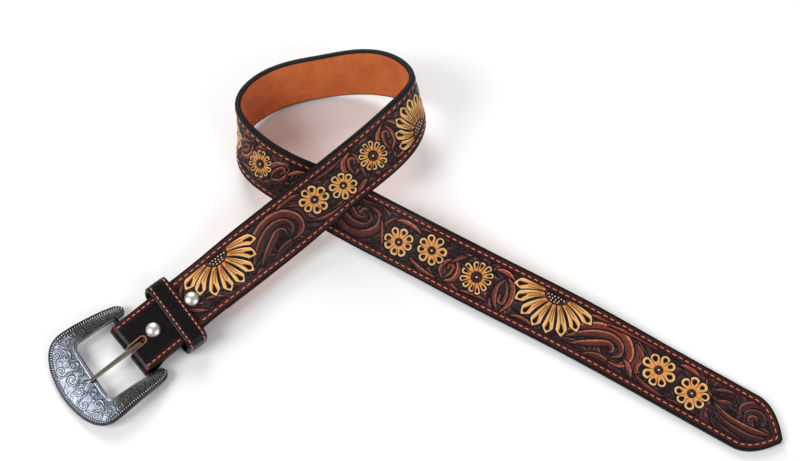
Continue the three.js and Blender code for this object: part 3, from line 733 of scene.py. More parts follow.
        def at(ahead, out):
            return root + run * length * ahead + across * out
        body = (at(-0.05, 0), at(0.5, 0.4), at(1.05, 0))
        low_side = (at(0.02, -0.8), at(0.3, -4.8), at(0.7, -4.2), at(1, -0.6))
        high_side = (at(-0.05, 0.8), at(0.2, 5.4), at(0.65, 5.8), at(1.05, 0.8))
        curl = (at(0.1, 0.2), at(0.4, 2.2), at(0.72, 1.6), at(0.7, -1.2), at(0.5, -1.2))
        self.stroke(body, (0.5, 10.5, 0.3), 0.35, level=-0.1)
        self.stroke(low_side, (0.3, 2.6, 0.2), 0.8)
        self.stroke(high_side, (0.4, 3.2, 0.2), 1.05, level=0.05)
        self.stroke(curl, (0.5, 1.7, 0.7), 0.75)

    def scroll(self, plumes, x, side, tone):
        """A group of plumes about a place, opening to one side."""
        for row in plumes:
            line = [(x + along, across * side) for along, across in row["line"]]
            self.plume(line, row["half"], row["strands"], row["tone"] * tone)

    def volute(self, x, y, radius, start, turns):
        """A raised spiral with a leaf at its root."""
        share = np.linspace(0, 1, 26)
        angle = math.radians(start) + 2 * math.pi * turns * share
        out = radius * (1 - 0.85 * share)
        line = np.stack([x + out * np.cos(angle), y + out * np.sin(angle)], 1)
        leaf = (line[0], line[0] + (line[0] - (x, y)) * (0.5, 0.2), line[0] + (line[0] - line[3]) * 1.6)
        self.stroke(line, (0.2, 0.78, 0.42), 1.0, level=0.1, outline=0.4)
        self.stroke(leaf, (0.2, 0.9, 0.1), 1.0, level=0.1, outline=0.4)


# Meshes

def new_object(name, data):
    piece = bpy.data.objects.new(name, data)
    bpy.context.scene.collection.objects.link(piece)
    return piece


def add_layer(mesh, name, values):
    """One value or vector for each point, kept on the mesh under a name."""
    values = np.ascontiguousarray(values, np.float32)
    kind = "FLOAT_VECTOR" if values.ndim == 2 else "FLOAT"
    attribute = mesh.attributes.new(name, kind, "POINT")
    attribute.data.foreach_set("vector" if values.ndim == 2 else "value", values.ravel())


def quads_between(here, ahead):
    """Quads round each pair of neighbouring rings, given by the numbers of their points."""
    return np.stack([here, np.roll(here, -1, 1), np.roll(ahead, -1, 1), ahead], -1).reshape(-1, 4)


def volume_of(points, quads):
    """Six times the volume inside quads, negative where they face inwards."""
    a, b, c, d = (points[quads[:, i]] for i in range(4))
    return (np.cross(b, c) * a).sum() + (np.cross(c, d) * a).sum()


def finished_piece(name, mesh, finish, layers, sharp):
    for layer, values in (layers or {}).items():
        add_layer(mesh, layer, values)
    mesh.shade_smooth()
    mesh.set_sharp_from_angle(angle=math.radians(sharp))
    mesh.materials.append(finish_for(finish))
    return new_object(name, mesh)


def lofted(name, rings, finish, around=None, layers=None, sharp=50.0):
    """A closed body through rings of points in millimetres, with its caps and a map for baking."""
    rows, columns = rings.shape[:2]
    points = rings.reshape(-1, 3) * MM
    index = np.arange(rows * columns).reshape(rows, columns)
    here, ahead = index[:-1], index[1:]
    quads = quads_between(here, ahead)
    along = np.linspace(0, 1, rows)
    around = np.linspace(0, 1, columns + 1) if around is None else around
    low, high = np.broadcast_to(along[:-1, None], here.shape), np.broadcast_to(along[1:, None], here.shape)
    left, right = np.broadcast_to(around[:-1], here.shape), np.broadcast_to(around[1:], here.shape)
    places = np.stack([
        np.stack([low, left], -1), np.stack([low, right], -1),
        np.stack([high, right], -1), np.stack([high, left], -1),
    ], 2).reshape(-1, 4, 2)
    first, last = index[0][::-1], index[-1]
    if volume_of(points, quads) < 0:
        quads, places = quads[:, ::-1], places[:, ::-1]
        first, last = first[::-1], last[::-1]
    mesh = bpy.data.meshes.new(name)
    mesh.from_pydata(points.tolist(), [], quads.tolist() + [first.tolist(), last.tolist()])
    corner = np.zeros((len(mesh.loops), 2), np.float32)
    corner[:len(quads) * 4] = places.reshape(-1, 2)
    mesh.uv_layers.new(name=BAKE_MAP).data.foreach_set("uv", corner.ravel())
    return finished_piece(name, mesh, finish, layers, sharp)


def closed_tube(name, rings, finish, layers=None, sharp=60.0):
    """A body whose rings join round in both directions, with no caps."""
    rows, columns = rings.shape[:2]
    points = rings.reshape(-1, 3) * MM
    index = np.arange(rows * columns).reshape(rows, columns)
    quads = quads_between(index, np.roll(index, -1, 0))
    if volume_of(points, quads) < 0:
        quads = quads[:, ::-1]
    mesh = bpy.data.meshes.new(name)
    mesh.from_pydata(points.tolist(), [], quads.tolist())
    return finished_piece(name, mesh, finish, layers, sharp)


def ride_on(piece, body, slot, *nodes):
    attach(piece, body)
    if nodes:
        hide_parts(*nodes)


def round_corners(low, high, bottom, top, radius, steps=5):
    """Points of a rounded rectangle, from its lower left corner round."""
    points = []
    for x, y, start in ((high - radius, bottom + radius, -90), (high - radius, top - radius, 0),
                        (low + radius, top - radius, 90), (low + radius, bottom + radius, 180)):
        for turn in np.radians(np.linspace(start, start + 90, steps)):
            points.append((x + radius * math.cos(turn), y + radius * math.sin(turn)))
    return np.array(points)


def applied(piece):
    """Turns a piece and its modifier into a plain mesh."""
    bpy.context.view_layer.update()
    shown = piece.evaluated_get(bpy.context.evaluated_depsgraph_get())
    made = bpy.data.meshes.new_from_object(shown)
    piece.modifiers.clear()
    piece.data = made
    return made


def socket_id(group, name):
    return next(item.identifier for item in group.interface.items_tree if item.name == name)


def new_group(name, kind, inputs, outputs):
    """A node group with named sockets, each with its kind and perhaps a default, and its two end nodes."""
    group = bpy.data.node_groups.new(name, kind)
    for way, sockets in (("INPUT", inputs), ("OUTPUT", outputs)):
        for label, socket_kind, *default in sockets:
            socket = group.interface.new_socket(label, in_out=way, socket_type="NodeSocket" + socket_kind)
            if default:
                socket.default_value = default[0]
    return group, group.nodes.new("NodeGroupInput"), group.nodes.new("NodeGroupOutput")


def repeat_group():
    """Geometry Nodes group that sets one small rounded piece on every point it is given."""
    group, given, out = new_group(
        "Repeated beads", "GeometryNodeTree",
        [("Points", "Geometry"), ("Length", "Float"), ("Width", "Float"), ("Height", "Float"),
         ("Segments", "Int"), ("Rings", "Int"), ("Material", "Material")],
        [("Geometry", "Geometry")])
    for name in ("Length", "Width", "Height"):
        group.interface.items_tree[name].subtype = "DISTANCE"
    nodes, links = group.nodes, group.links
    bead = nodes.new("GeometryNodeMeshUVSphere")
    bead.inputs["Radius"].default_value = 0.5
    links.new(given.outputs["Segments"], bead.inputs["Segments"])
    links.new(given.outputs["Rings"], bead.inputs["Rings"])
    stretch = nodes.new("ShaderNodeCombineXYZ")
    for name, axis in (("Length", "X"), ("Width", "Y"), ("Height", "Z")):
        links.new(given.outputs[name], stretch.inputs[axis])
    shaped = nodes.new("GeometryNodeTransform")
    links.new(bead.outputs["Mesh"], shaped.inputs["Geometry"])
    links.new(stretch.outputs["Vector"], shaped.inputs["Scale"])
    smooth = nodes.new("GeometryNodeSetShadeSmooth")
    links.new(shaped.outputs["Geometry"], smooth.inputs["Geometry"])
    turned = None
    for layer, axis in (("rise", "Z"), ("run", "X")):
        read = nodes.new("GeometryNodeInputNamedAttribute")
        read.data_type = "FLOAT_VECTOR"
        read.inputs["Name"].default_value = layer
        align = nodes.new("FunctionNodeAlignRotationToVector")
        align.axis = axis
        links.new(read.outputs["Attribute"], align.inputs["Vector"])
        if turned:
            align.pivot_axis = "Z"
            links.new(turned.outputs["Rotation"], align.inputs["Rotation"])
        turned = align
    placed = nodes.new("GeometryNodeInstanceOnPoints")
    links.new(given.outputs["Points"], placed.inputs["Points"])
    links.new(smooth.outputs["Geometry"], placed.inputs["Instance"])
    links.new(turned.outputs["Rotation"], placed.inputs["Rotation"])
    real = nodes.new("GeometryNodeRealizeInstances")
    links.new(placed.outputs["Instances"], real.inputs["Geometry"])
    finish = nodes.new("GeometryNodeSetMaterial")
    links.new(real.outputs["Geometry"], finish.inputs["Geometry"])
    links.new(given.outputs["Material"], finish.inputs["Material"])
    links.new(finish.outputs["Geometry"], out.inputs["Geometry"])
    return group


def beads(name, points, run, rise, size, finish):
    """Small rounded pieces on points, long along run and standing up along rise, as one mesh."""
    mesh = bpy.data.meshes.new(name + "_points")
    mesh.from_pydata((points * MM).tolist(), [], [])
    add_layer(mesh, "run", run)
    add_layer(mesh, "rise", rise)
    holder = new_object(name, mesh)
    group = group_for("Repeated beads")
    modifier = holder.modifiers.new("Beads", "NODES")
    modifier.node_group = group
    values = dict(zip(("Length", "Width", "Height"), (value * MM for value in size)))
    values.update({"Segments": BEAD_SEGMENTS, "Rings": BEAD_RINGS, "Material": finish_for(finish)})
    for key, value in values.items():
        modifier[socket_id(group, key)] = value
    made = applied(holder)
    made.name = name
    for layer in ("run", "rise"):
        if layer in made.attributes:
            made.attributes.remove(made.attributes[layer])
    return holder


def spaced(line, pitch, start=0.5):
    """Points at even distances along a line of points, and the directions there."""
    travelled = lengths_along(line)
    count = int(travelled[-1] / pitch)
    at = (np.arange(count) + start) * travelled[-1] / count
    ahead, behind = (points_at(line, travelled, at + reach) for reach in (RUN_REACH, -RUN_REACH))
    return points_at(line, travelled, at), unit(ahead - behind)


# Materials

class Finish:
    """A material under construction, with short names for its nodes."""

    def __init__(self, name):
        self.material = bpy.data.materials.new("belt_" + name)
        self.material.use_nodes = True
        self.tree = self.material.node_tree
        self.shader = self.tree.nodes["Principled BSDF"]

    def node(self, kind, **settings):
        node = self.tree.nodes.new(kind)
        for key, value in settings.items():
            setattr(node, key, value)
        return node

    def put(self, socket, value):
        """Sets a socket to a plain value, or links it where the value is another socket."""
        if isinstance(value, bpy.types.NodeSocket):
            self.tree.links.new(value, socket)
        else:
            socket.default_value = value

    def layer(self, name):
        return self.node("ShaderNodeAttribute", attribute_name=name).outputs["Fac"]

    def position(self):
        return self.node("ShaderNodeTexCoord").outputs["Object"]

    def noise(self, scale, detail=4.0, roughness=0.6):
        """Noise whose scale is features per metre."""
        noise = self.node("ShaderNodeTexNoise")
        self.put(noise.inputs["Vector"], self.position())
        for key, value in (("Scale", scale), ("Detail", detail), ("Roughness", roughness)):
            self.put(noise.inputs[key], value)
        return noise.outputs["Fac"]

    def ramp(self, value, low=0.3, high=0.7, to_low=0.0, to_high=1.0):
        """Spreads the values from low to high over a new range, and holds them at its ends."""
        spread = self.node("ShaderNodeMapRange")
        self.put(spread.inputs["Value"], value)
        for key, end in (("From Min", low), ("From Max", high), ("To Min", to_low), ("To Max", to_high)):
            self.put(spread.inputs[key], end)
        return spread.outputs["Result"]

    def maths(self, operation, *values):
        node = self.node("ShaderNodeMath", operation=operation)
        for socket, value in zip(node.inputs, values):
            self.put(socket, value)
        return node.outputs["Value"]

    def times(self, first, second):
        return self.maths("MULTIPLY", first, second)

    def mix(self, share, first, second):
        node = self.node("ShaderNodeMix", data_type="RGBA")
        for name, value in (("Factor", share), ("A", first), ("B", second)):
            self.put(node.inputs[name], value)
        return node.outputs["Result"]

    def over(self, colour, layer, tone):
        """A tone over a colour, where the mesh carries a layer."""
        return self.mix(self.layer(layer), colour, tone)

    def bump(self, height, depth):
        """A normal from a height, with its depth in metres."""
        bump = self.node("ShaderNodeBump")
        self.put(bump.inputs["Distance"], depth)
        self.put(bump.inputs["Height"], height)
        return bump.outputs["Normal"]

    def group(self, name, **values):
        node = self.node("ShaderNodeGroup", node_tree=group_for(name))
        for key, value in values.items():
            self.put(node.inputs[key], value)
        return node

    def give(self, **values):
        """Sets the shader's sockets."""
        for key, value in values.items():
            self.put(self.shader.inputs[key.replace("_", " ")], value)
        return self.material


def grain_group():
    """Leather grain: fine pores and wrinkles as a normal, and a mask of the hollows."""
    group, given, out = new_group(
        "Leather grain", "ShaderNodeTree",
        [("Pore Scale", "Float", 1800.0), ("Wrinkle Scale", "Float", 420.0), ("Depth", "Float", 0.00012)],
        [("Normal", "Vector"), ("Hollows", "Float")])
    nodes, links = group.nodes, group.links
    place = nodes.new("ShaderNodeTexCoord")
    pores = nodes.new("ShaderNodeTexVoronoi")
    pores.feature = "F1"
    wrinkles = nodes.new("ShaderNodeTexNoise")
    wrinkles.inputs["Detail"].default_value = 5
    for node, scale in ((pores, "Pore Scale"), (wrinkles, "Wrinkle Scale")):
        links.new(place.outputs["Object"], node.inputs["Vector"])
        links.new(given.outputs[scale], node.inputs["Scale"])
    joined = nodes.new("ShaderNodeMath")
    joined.operation = "MULTIPLY_ADD"
    joined.inputs[1].default_value = 0.6
    links.new(pores.outputs["Distance"], joined.inputs[0])
    links.new(wrinkles.outputs["Fac"], joined.inputs[2])
    bump = nodes.new("ShaderNodeBump")
    bump.inputs["Strength"].default_value = 1.0
    links.new(given.outputs["Depth"], bump.inputs["Distance"])
    links.new(joined.outputs["Value"], bump.inputs["Height"])
    links.new(bump.outputs["Normal"], out.inputs["Normal"])
    links.new(wrinkles.outputs["Fac"], out.inputs["Hollows"])
    return group


def tarnish_group():
    """Uneven darkening of metal: a mask of stains and one of fine scratches."""
    group, given, out = new_group(
        "Tarnish", "ShaderNodeTree",
        [("Stain Scale", "Float", 220.0), ("Scratch Scale", "Float", 1500.0)],
        [("Stains", "Float"), ("Scratches", "Float")])
    nodes, links = group.nodes, group.links
    place = nodes.new("ShaderNodeTexCoord")
    for name, scale in (("Stains", "Stain Scale"), ("Scratches", "Scratch Scale")):
        noise = nodes.new("ShaderNodeTexNoise")
        noise.inputs["Detail"].default_value = 6
        links.new(place.outputs["Object"], noise.inputs["Vector"])
        links.new(given.outputs[scale], noise.inputs["Scale"])
        links.new(noise.outputs["Fac"], out.inputs[name])
    return group


def group_for(name):
    """The named node group, made at its first use."""
    makers = {"Repeated beads": repeat_group, "Leather grain": grain_group, "Tarnish": tarnish_group}
    return bpy.data.node_groups.get(name) or makers[name]()


def tooled_leather():
    """Stained, painted and waxed tooling, from the layers that the relief leaves on the mesh, with painted
    shade, highlights and sheen on its blades and in its cuts.
    """
    tone = colours()
    finish = Finish("tooled_leather")
    grain = finish.group("Leather grain", Depth=0.00006)
    mottle = finish.ramp(finish.noise(260))
    patchy = finish.ramp(finish.noise(90, 2.0), 0.42, 0.6)
    # Patches of the ground take the painted bluish-purple sheen
    ground = finish.mix(mottle, tone.cut, finish.mix(patchy, tone.painted_plum_sheen, tone.ground))
    strength = finish.layer("leaf")
    # Painted shade: the darker tone that a blade's colour falls to at its edges
    shaded = finish.mix(0.4, tone.painted_plum_sheen, tone.ground)
    stain = finish.ramp(finish.noise(620, 3.0), 0.4, 0.62, 0.45, 1.0)
    leaf = finish.mix(finish.times(finish.ramp(strength, 0.3, 1.1), stain), shaded, tone.leaf)
    leaf = finish.mix(finish.times(mottle, 0.25), leaf, shaded)
    # Painted highlight along one side of each blade, in the lit-side colour
    leaf = finish.mix(finish.times(finish.layer("shine"), stain), leaf, tone.leaf_light)
    colour = finish.mix(finish.ramp(strength, 0.02, 0.35), ground, leaf)
    petal = finish.over(tone.petal, "heart", tone.petal_heart)
    petal = finish.mix(finish.times(mottle, 0.3), petal, tone.petal_heart)
    petal = finish.over(petal, "rim", tone.petal_rim)
    colour = finish.over(colour, "petal", petal)
    band = finish.mix(mottle, finish.mix(0.5, tone.band, tone.cut), tone.band)
    colour = finish.over(colour, "band", band)
    colour = finish.over(colour, "edge", tone.edge)
    # Cuts, holes and outlines go near-black: stain in the cuts, with painted shade
    colour = finish.mix(finish.times(finish.layer("cut"), 0.94), colour, tone.cut)
    rough = finish.ramp(grain.outputs["Hollows"], to_low=0.28, to_high=0.44)
    rough = finish.maths("ADD", rough, finish.times(finish.layer("edge"), 0.3))
    return finish.give(Base_Color=colour, Roughness=rough, Normal=grain.outputs["Normal"],
                       Specular_IOR_Level=0.2)


def plain_leather():
    """Dark leather of the buckle end and the keeper, redder beside its stitches."""
    tone = colours()
    finish = Finish("plain_leather")
    grain = finish.group("Leather grain", Depth=0.00009)
    mottle = finish.ramp(finish.noise(160))
    colour = finish.mix(mottle, finish.mix(0.45, tone.plain, tone.edge), tone.plain)
    colour = finish.over(colour, "band", tone.band)
    colour = finish.over(colour, "edge", tone.edge)
    colour = finish.mix(finish.times(finish.layer("cut"), 0.9), colour, tone.cut)
    rough = finish.ramp(grain.outputs["Hollows"], to_low=0.2, to_high=0.34)
    return finish.give(Base_Color=colour, Roughness=rough, Normal=grain.outputs["Normal"],
                       Specular_IOR_Level=0.2)


def raw_leather():
    """Light cut edge inside the tongue's slot."""
    tone = colours()
    finish = Finish("raw_leather")
    colour = finish.mix(finish.ramp(finish.noise(700), to_high=0.35), tone.raw, tone.leaf)
    return finish.give(Base_Color=colour, Roughness=0.8)


def suede():
    """Napped split leather with soft brushed patches, and painted shade round the loop's left bend."""
    tone = colours()
    finish = Finish("suede")
    nap = finish.noise(2600, 3.0, 0.7)
    patches = finish.ramp(finish.noise(70, 3.0), 0.35, 0.65)
    speckle = finish.ramp(finish.noise(950, 3.0, 0.8), 0.43, 0.58)
    dark = finish.mix(0.62, tone.suede, tone.leaf)
    light = finish.mix(0.22, tone.suede, tone.petal_rim)
    colour = finish.mix(patches, finish.mix(0.45, tone.suede, dark), finish.mix(0.35, tone.suede, light))
    colour = finish.mix(finish.times(speckle, 0.6), colour, dark)
    flecks = finish.ramp(finish.noise(1300, 2.0, 0.8), 0.56, 0.68, 0.0, 0.45)
    colour = finish.mix(flecks, colour, finish.mix(0.3, tone.suede, tone.petal_rim))
    # Painted shade round the loop's left bend, made uneven by noise
    uneven_painted_shade = finish.ramp(finish.noise(110, 3.0), 0.3, 0.6, 0.3, 0.62)
    painted_shade = finish.times(finish.layer("painted_shade"), uneven_painted_shade)
    colour = finish.mix(painted_shade, colour, finish.mix(0.35, tone.leaf, tone.ground))
    colour = finish.over(colour, "edge", tone.edge)
    return finish.give(Base_Color=colour, Roughness=finish.ramp(speckle, 0, 1, 0.82, 0.95),
                       Normal=finish.bump(nap, 0.00025), Sheen_Weight=0.08, Sheen_Roughness=0.5,
                       Specular_IOR_Level=0.1)


def thread(name, main, painted_shade):
    """Twisted thread, with painted shade between its strands."""
    finish = Finish(name)
    wave = finish.node("ShaderNodeTexWave", bands_direction="DIAGONAL")
    for key, value in (("Vector", finish.position()), ("Scale", 900), ("Distortion", 2)):
        finish.put(wave.inputs[key], value)
    twist = wave.outputs["Fac"]
    # Painted shade in the grooves of the twist
    colour = finish.mix(finish.times(twist, 0.35), main, painted_shade)
    return finish.give(Base_Color=colour, Roughness=0.55, Normal=finish.bump(twist, 0.0001))


def silver():
    """Antique silver: painted brighter on the front and darker on the arms as a painted reflection, with
    painted highlights on raised lines and dark tarnish in its engraving.
    """
    tone = colours()
    finish = Finish("antique_silver")
    wear = finish.group("Tarnish")
    stains = finish.ramp(wear.outputs["Stains"])
    bright = finish.mix(finish.times(stains, 0.2), tone.silver, tone.dark_reflection_and_stain)
    front = finish.over(finish.mix(0.3, bright, tone.dark_reflection_and_stain), "shine", bright)
    # The arms take the darker tone of the painted reflection
    arms = finish.over(tone.dark_reflection_and_stain, "shine", finish.mix(0.35, tone.dark_reflection_and_stain, tone.silver))
    colour = finish.over(arms, "front", front)
    colour = finish.mix(finish.times(finish.layer("cut"), 0.9), colour, tone.tarnish)
    colour = finish.mix(finish.times(finish.layer("heart"), 0.92), colour, tone.tarnish)
    rough = finish.ramp(wear.outputs["Scratches"], to_low=0.26, to_high=0.42)
    return finish.give(Base_Color=colour, Metallic=1.0, Roughness=rough)


def polished(name, main, low=0.2, high=0.32):
    """Plain metal with faint stains, and roughness from low to high."""
    finish = Finish(name)
    wear = finish.group("Tarnish")
    stains = finish.ramp(wear.outputs["Stains"], 0.35, 0.75, to_high=0.16)
    colour = finish.mix(stains, main, finish.mix(0.5, main, colours().tarnish))
    rough = finish.ramp(wear.outputs["Scratches"], to_low=low, to_high=high)
    return finish.give(Base_Color=colour, Metallic=1.0, Roughness=rough)


def floor_finish():
    finish = Finish("table")
    speckle = finish.ramp(finish.noise(40, 2.0), to_high=0.06)
    colour = finish.mix(speckle, colours().floor, paint(232, 232, 232))
    return finish.give(Base_Color=colour, Roughness=0.9, Specular_IOR_Level=0.1)


def finish_for(name):
    """The named finish, made at its first use."""
    tone = colours()
    makers = {
        "tooled_leather": tooled_leather,
        "plain_leather": plain_leather,
        "raw_leather": raw_leather,
        "suede": suede,
        "thread": lambda: thread("thread", tone.thread, tone.leaf_light),
        "fine_thread": lambda: thread("fine_thread", tone.fine_thread, tone.thread),
        "lining_thread": lambda: thread("lining_thread", tone.leaf_light, tone.leaf),
        "seeds": lambda: thread("seeds", tone.seed, tone.petal),
        "antique_silver": silver,
        "rope_silver": lambda: polished("rope_silver", tone.rope, 0.3, 0.4),
        "bar_metal": lambda: polished("bar_metal", tone.tarnish),
        "tongue_metal": lambda: polished("tongue_metal", tone.tongue, 0.28, 0.38),
        "nickel": lambda: polished("nickel", tone.nickel, 0.33, 0.4),
        "table": floor_finish,
    }
    return bpy.data.materials.get("belt_" + name) or makers[name]()


# Pieces of the strap

def stitch_line(inset, start):
    """The stitched line round the strap's outline, as distance and across."""
    distance = np.concatenate([
        np.linspace(start, strap.length - 1.2 * POINT_LENGTH, 300),
        np.linspace(strap.length - 1.2 * POINT_LENGTH, strap.length, 200)[1:],
    ])
    edge = np.stack([distance, strap.half_width(distance)], 1)
    run = unit(np.gradient(edge, axis=0))
    inner = edge + np.stack([run[:, 1], -run[:, 0]], 1) * inset
    inner = inner[inner[:, 1] > 0.3]
    return np.vstack([inner, inner[::-1] * (1, -1)])


def lay_chart(relief):
    """Lays small plumes over the tooled field, and every motif of the chart over them."""
    relief.fill(
        (TOOLED_FROM, -13), (strap.length - 8, 14), spacing=(5.8, 5.0), length=12.5, half=2.3,
        random=np.random.default_rng(sizes().seed))
    for row in SCROLLS:
        relief.scroll(SCROLL_PLUMES, *row.tolist())
    relief.scroll(TIP_PLUMES, strap.length, side=1, tone=0.9)
    for row in LEAVES:
        relief.leaf(*row.tolist())
    for row in ACCENTS:
        x, y, end_x, end_y, belly, tone, bow = row.tolist()
        middle = ((x + end_x) / 2, (y + end_y) / 2 + bow)
        relief.stroke(((x, y), middle, (end_x, end_y)), (0.5, belly, 0.2), tone, level=0.05)
    for row in SUNFLOWERS:
        relief.sunflower(*row.tolist())
    for row in FLOWERS:
        relief.flower(*row.tolist())


def lay_border(relief, inset):
    """Lays the line round the field, the stitched band and the margin, and returns where those two lie."""
    field, margin, stitches = (
        length / MM for length in (sizes().field_inset, sizes().margin_width, sizes().stitch_inset))
    everywhere = np.arange(len(inset))
    band = inset - field + BORDER_LINE
    relief.lay(everywhere, inset - field, -0.5, cut=1.0)
    groove = GROOVE_DEPTH * bump_at(inset, stitches, 0.55)
    relief.lay(everywhere, band, -groove, cut=0.35 * bump_at(inset, stitches, 0.6))
    relief.lay(everywhere, inset - margin, 0.0)
    holes, _ = spaced(stitch_line(stitches, TOOLED_FROM), sizes().stitch_pitch / MM, start=0.0)
    for x, y in holes:
        where = relief.near((x - 1, y - 1), (x + 1, y + 1))
        away = np.hypot(relief.x[where] - x, relief.y[where] - y)
        relief.lay(where, away - HOLE_RADIUS, -0.5, cut=1.0)
    blur = 0.3
    past_margin = np.clip((inset - margin) / blur + 0.5, 0, 1)
    past_band = np.clip(band / blur + 0.5, 0, 1)
    return {"band": past_margin * (1 - past_band), "edge": 1 - past_margin}


def section_across(step):
    """Shares of the half width where the face has columns, closer together at the edges."""
    edges = np.array([0, 0.12, 0.3, 0.55, 0.85, 1.25])
    flat = STRAP_WIDTH / 2 - 1.6
    middle = np.linspace(-flat, flat, int(2 * flat / step))
    side = STRAP_WIDTH / 2 - edges
    return np.concatenate([-side, middle, side[::-1]]) / (STRAP_WIDTH / 2)


def tooled_stretch(name, start, end, shares):
    """One stretch of the tooled strap: relief on its face, rounded edges and a plain back."""
    step = sizes().tooling_step / MM
    radius = sizes().edge_radius / MM
    distance = np.linspace(start, end, int((end - start) / step) + 2)
    half = strap.half_width(distance)
    across = half[:, None] * shares
    along = np.broadcast_to(distance[:, None], across.shape)
    inset = np.clip(strap.edge_distance(along.ravel(), across.ravel()), 0, None)
    relief = Relief(along.ravel(), across.ravel(), -sizes().tooling_depth / MM, **TOOLING)
    lay_chart(relief)
    bands = lay_border(relief, inset)
    fall = radius - np.sqrt(np.clip(radius ** 2 - np.clip(radius - inset, 0, radius) ** 2, 0, None))
    up = (FACE_UP - 0.12 + relief.height - fall).reshape(across.shape)
    lined = (distance > TURN_BACK_END + 0.15)[:, None]
    under_across = half[:, None] * STRAP_BACK["share"]
    under_up = np.where(lined, STRAP_BACK["lined"], STRAP_BACK["single"])
    rings = np.concatenate([
        strap.points(along, across, up),
        strap.points(np.broadcast_to(distance[:, None], under_across.shape), under_across, under_up),
    ], 1)
    rows, under = len(rings), len(STRAP_BACK)
    layers = {}
    for layer, values in {**relief.paint, **bands}.items():
        values = values.reshape(across.shape)
        tail = np.full((rows, under), 1.0 if layer == "edge" else 0.0)
        layers[layer] = np.concatenate([values, tail], 1).ravel()
    face_share = 0.86
    around = np.concatenate([
        np.linspace(0, face_share, len(shares), endpoint=False), np.linspace(face_share, 1, under + 1)])
    return lofted(name, rings, "tooled_leather", around, layers, sharp=75)


def lining():
    """Suede on the strap's inside, set between the painted edges."""
    start, end = TURN_BACK_END + 0.3, strap.length - 1.5
    distance = np.linspace(start, end, 500)
    half = strap.half_width(distance)[:, None] * LINING_SHARE
    back = np.array([-1, -0.985, -0.955, -0.35, 0, 0.35, 0.955, 0.985, 1])
    shares = np.concatenate([back, [1, 0, -1]])
    rim = [LINING_BACK + 0.3]
    up = np.concatenate([rim, np.full(7, LINING_BACK), rim, np.full(3, LINING_TOP)])
    rings = strap.points(distance[:, None], half * shares, up)
    edge = np.concatenate([[0.9, 0.3], np.zeros(5), [0.3, 0.9], np.ones(3)])
    # Painted shade on the suede round the loop's left bend
    painted_shade = bump_at(distance, PAINTED_SHADE_PLACE, PAINTED_SHADE_REACH)
    layers = {"edge": np.tile(edge, len(distance)), "painted_shade": np.repeat(painted_shade, len(shares))}
    return lofted("suede_lining", rings, "suede", layers=layers)


def rows_of_stitches(name, start, up, finish):
    """Stitches round the strap's outline, on its face or on its lining."""
    places, run = spaced(stitch_line(sizes().stitch_inset / MM, start), sizes().stitch_pitch / MM)
    _, along, across, face = strap.axes(places[:, 0])
    heading = along * run[:, :1] + across * run[:, 1:]
    rise = face if up > 0 else -face
    points = strap.points(places[:, 0], places[:, 1], up)
    size = (sizes().stitch_length / MM, sizes().stitch_width / MM, THREAD_HEIGHT)
    return beads(name, points, heading, rise, size, finish)


def fold_axes():
    """Axes at the fold: origin on the bar, x towards the tip, y across and z out of the face."""
    middle, along, across, face = strap.axes_at(FOLD_OUTER)
    return middle + face * (FACE_UP - FOLD_OUTER), along, across, face


def turn_back_top(distance):
    """Height of the turned-back leaf, which closes up to the strap behind the fold."""
    share = np.clip((distance - FOLD_OUTER) / TURN_BACK_RISE, 0, 1)
    eased = share * share * (3 - 2 * share)
    return (FACE_UP - FOLD_OUTER - FOLD_INNER) * (1 - eased) + TURN_BACK_TOP * eased


def leather_section(half, thickness, radius=0.8):
    """Section of plain leather as across and depth under its outer side, from edge to edge and back."""
    outline = round_corners(-half, half, -thickness, 0, radius, 5)
    top = np.linspace(half - radius, -half + radius, 40)[1:-1]
    bottom = np.linspace(-half + radius, half - radius, 12)[1:-1]
    return np.vstack([
        outline[:10], np.stack([top, np.zeros_like(top)], 1), outline[10:],
        np.stack([bottom, np.full_like(bottom, -thickness)], 1),
    ])


def fold_leather():
    """The plain buckle end: the face from under the keeper, round the fold and back, with its slot."""
    section = leather_section(STRAP_WIDTH / 2, LEATHER)
    across, depth = section[:, 0], section[:, 1]
    rings = []
    for distance in np.linspace(TOOLED_FROM + 0.1, FOLD_OUTER, 45, endpoint=False):
        rings.append(strap.points(distance, across, FACE_UP - 0.05 + depth))
    origin, along, sideways, face = fold_axes()
    for turn in np.linspace(math.pi / 2, -math.pi / 2, 26):
        radius = (FOLD_OUTER - 0.05 + depth)[:, None]
        out = face * math.sin(turn) - along * math.cos(turn)
        rings.append(origin + sideways * across[:, None] + out * radius)
    for distance in np.linspace(FOLD_OUTER + 1, TURN_BACK_END, 40):
        under = turn_back_top(distance) - LEATHER
        skived = 1 - 0.045 * np.clip((distance - 40) / 12, 0, 1)
        rings.append(strap.points(distance, across * skived, under - depth))
    rings = np.array(rings)
    inset = STRAP_WIDTH / 2 - np.abs(across)
    outer = depth > -0.5
    band = np.where(outer, 0.8 * bump_at(inset, PLAIN_INSET - 0.5, 1.7), 0)
    edge = np.where(outer, np.clip((0.9 - inset) / 0.4, 0, 1), 1)
    cut = np.where(outer, 0.8 * bump_at(inset, PLAIN_INSET, 0.5), 0)
    layers = {name: np.tile(values, len(rings)) for name, values in
              (("band", band), ("edge", edge), ("cut", cut))}
    piece = lofted("fold_leather", rings, "plain_leather", layers=layers, sharp=60)
    cutter = slot_cutter()
    slot = piece.modifiers.new("Slot", "BOOLEAN")
    slot.operation = "DIFFERENCE"
    slot.solver = "EXACT"
    slot.object = cutter
    slot.material_mode = "TRANSFER"
    applied(piece)
    bpy.data.objects.remove(cutter)
    return piece


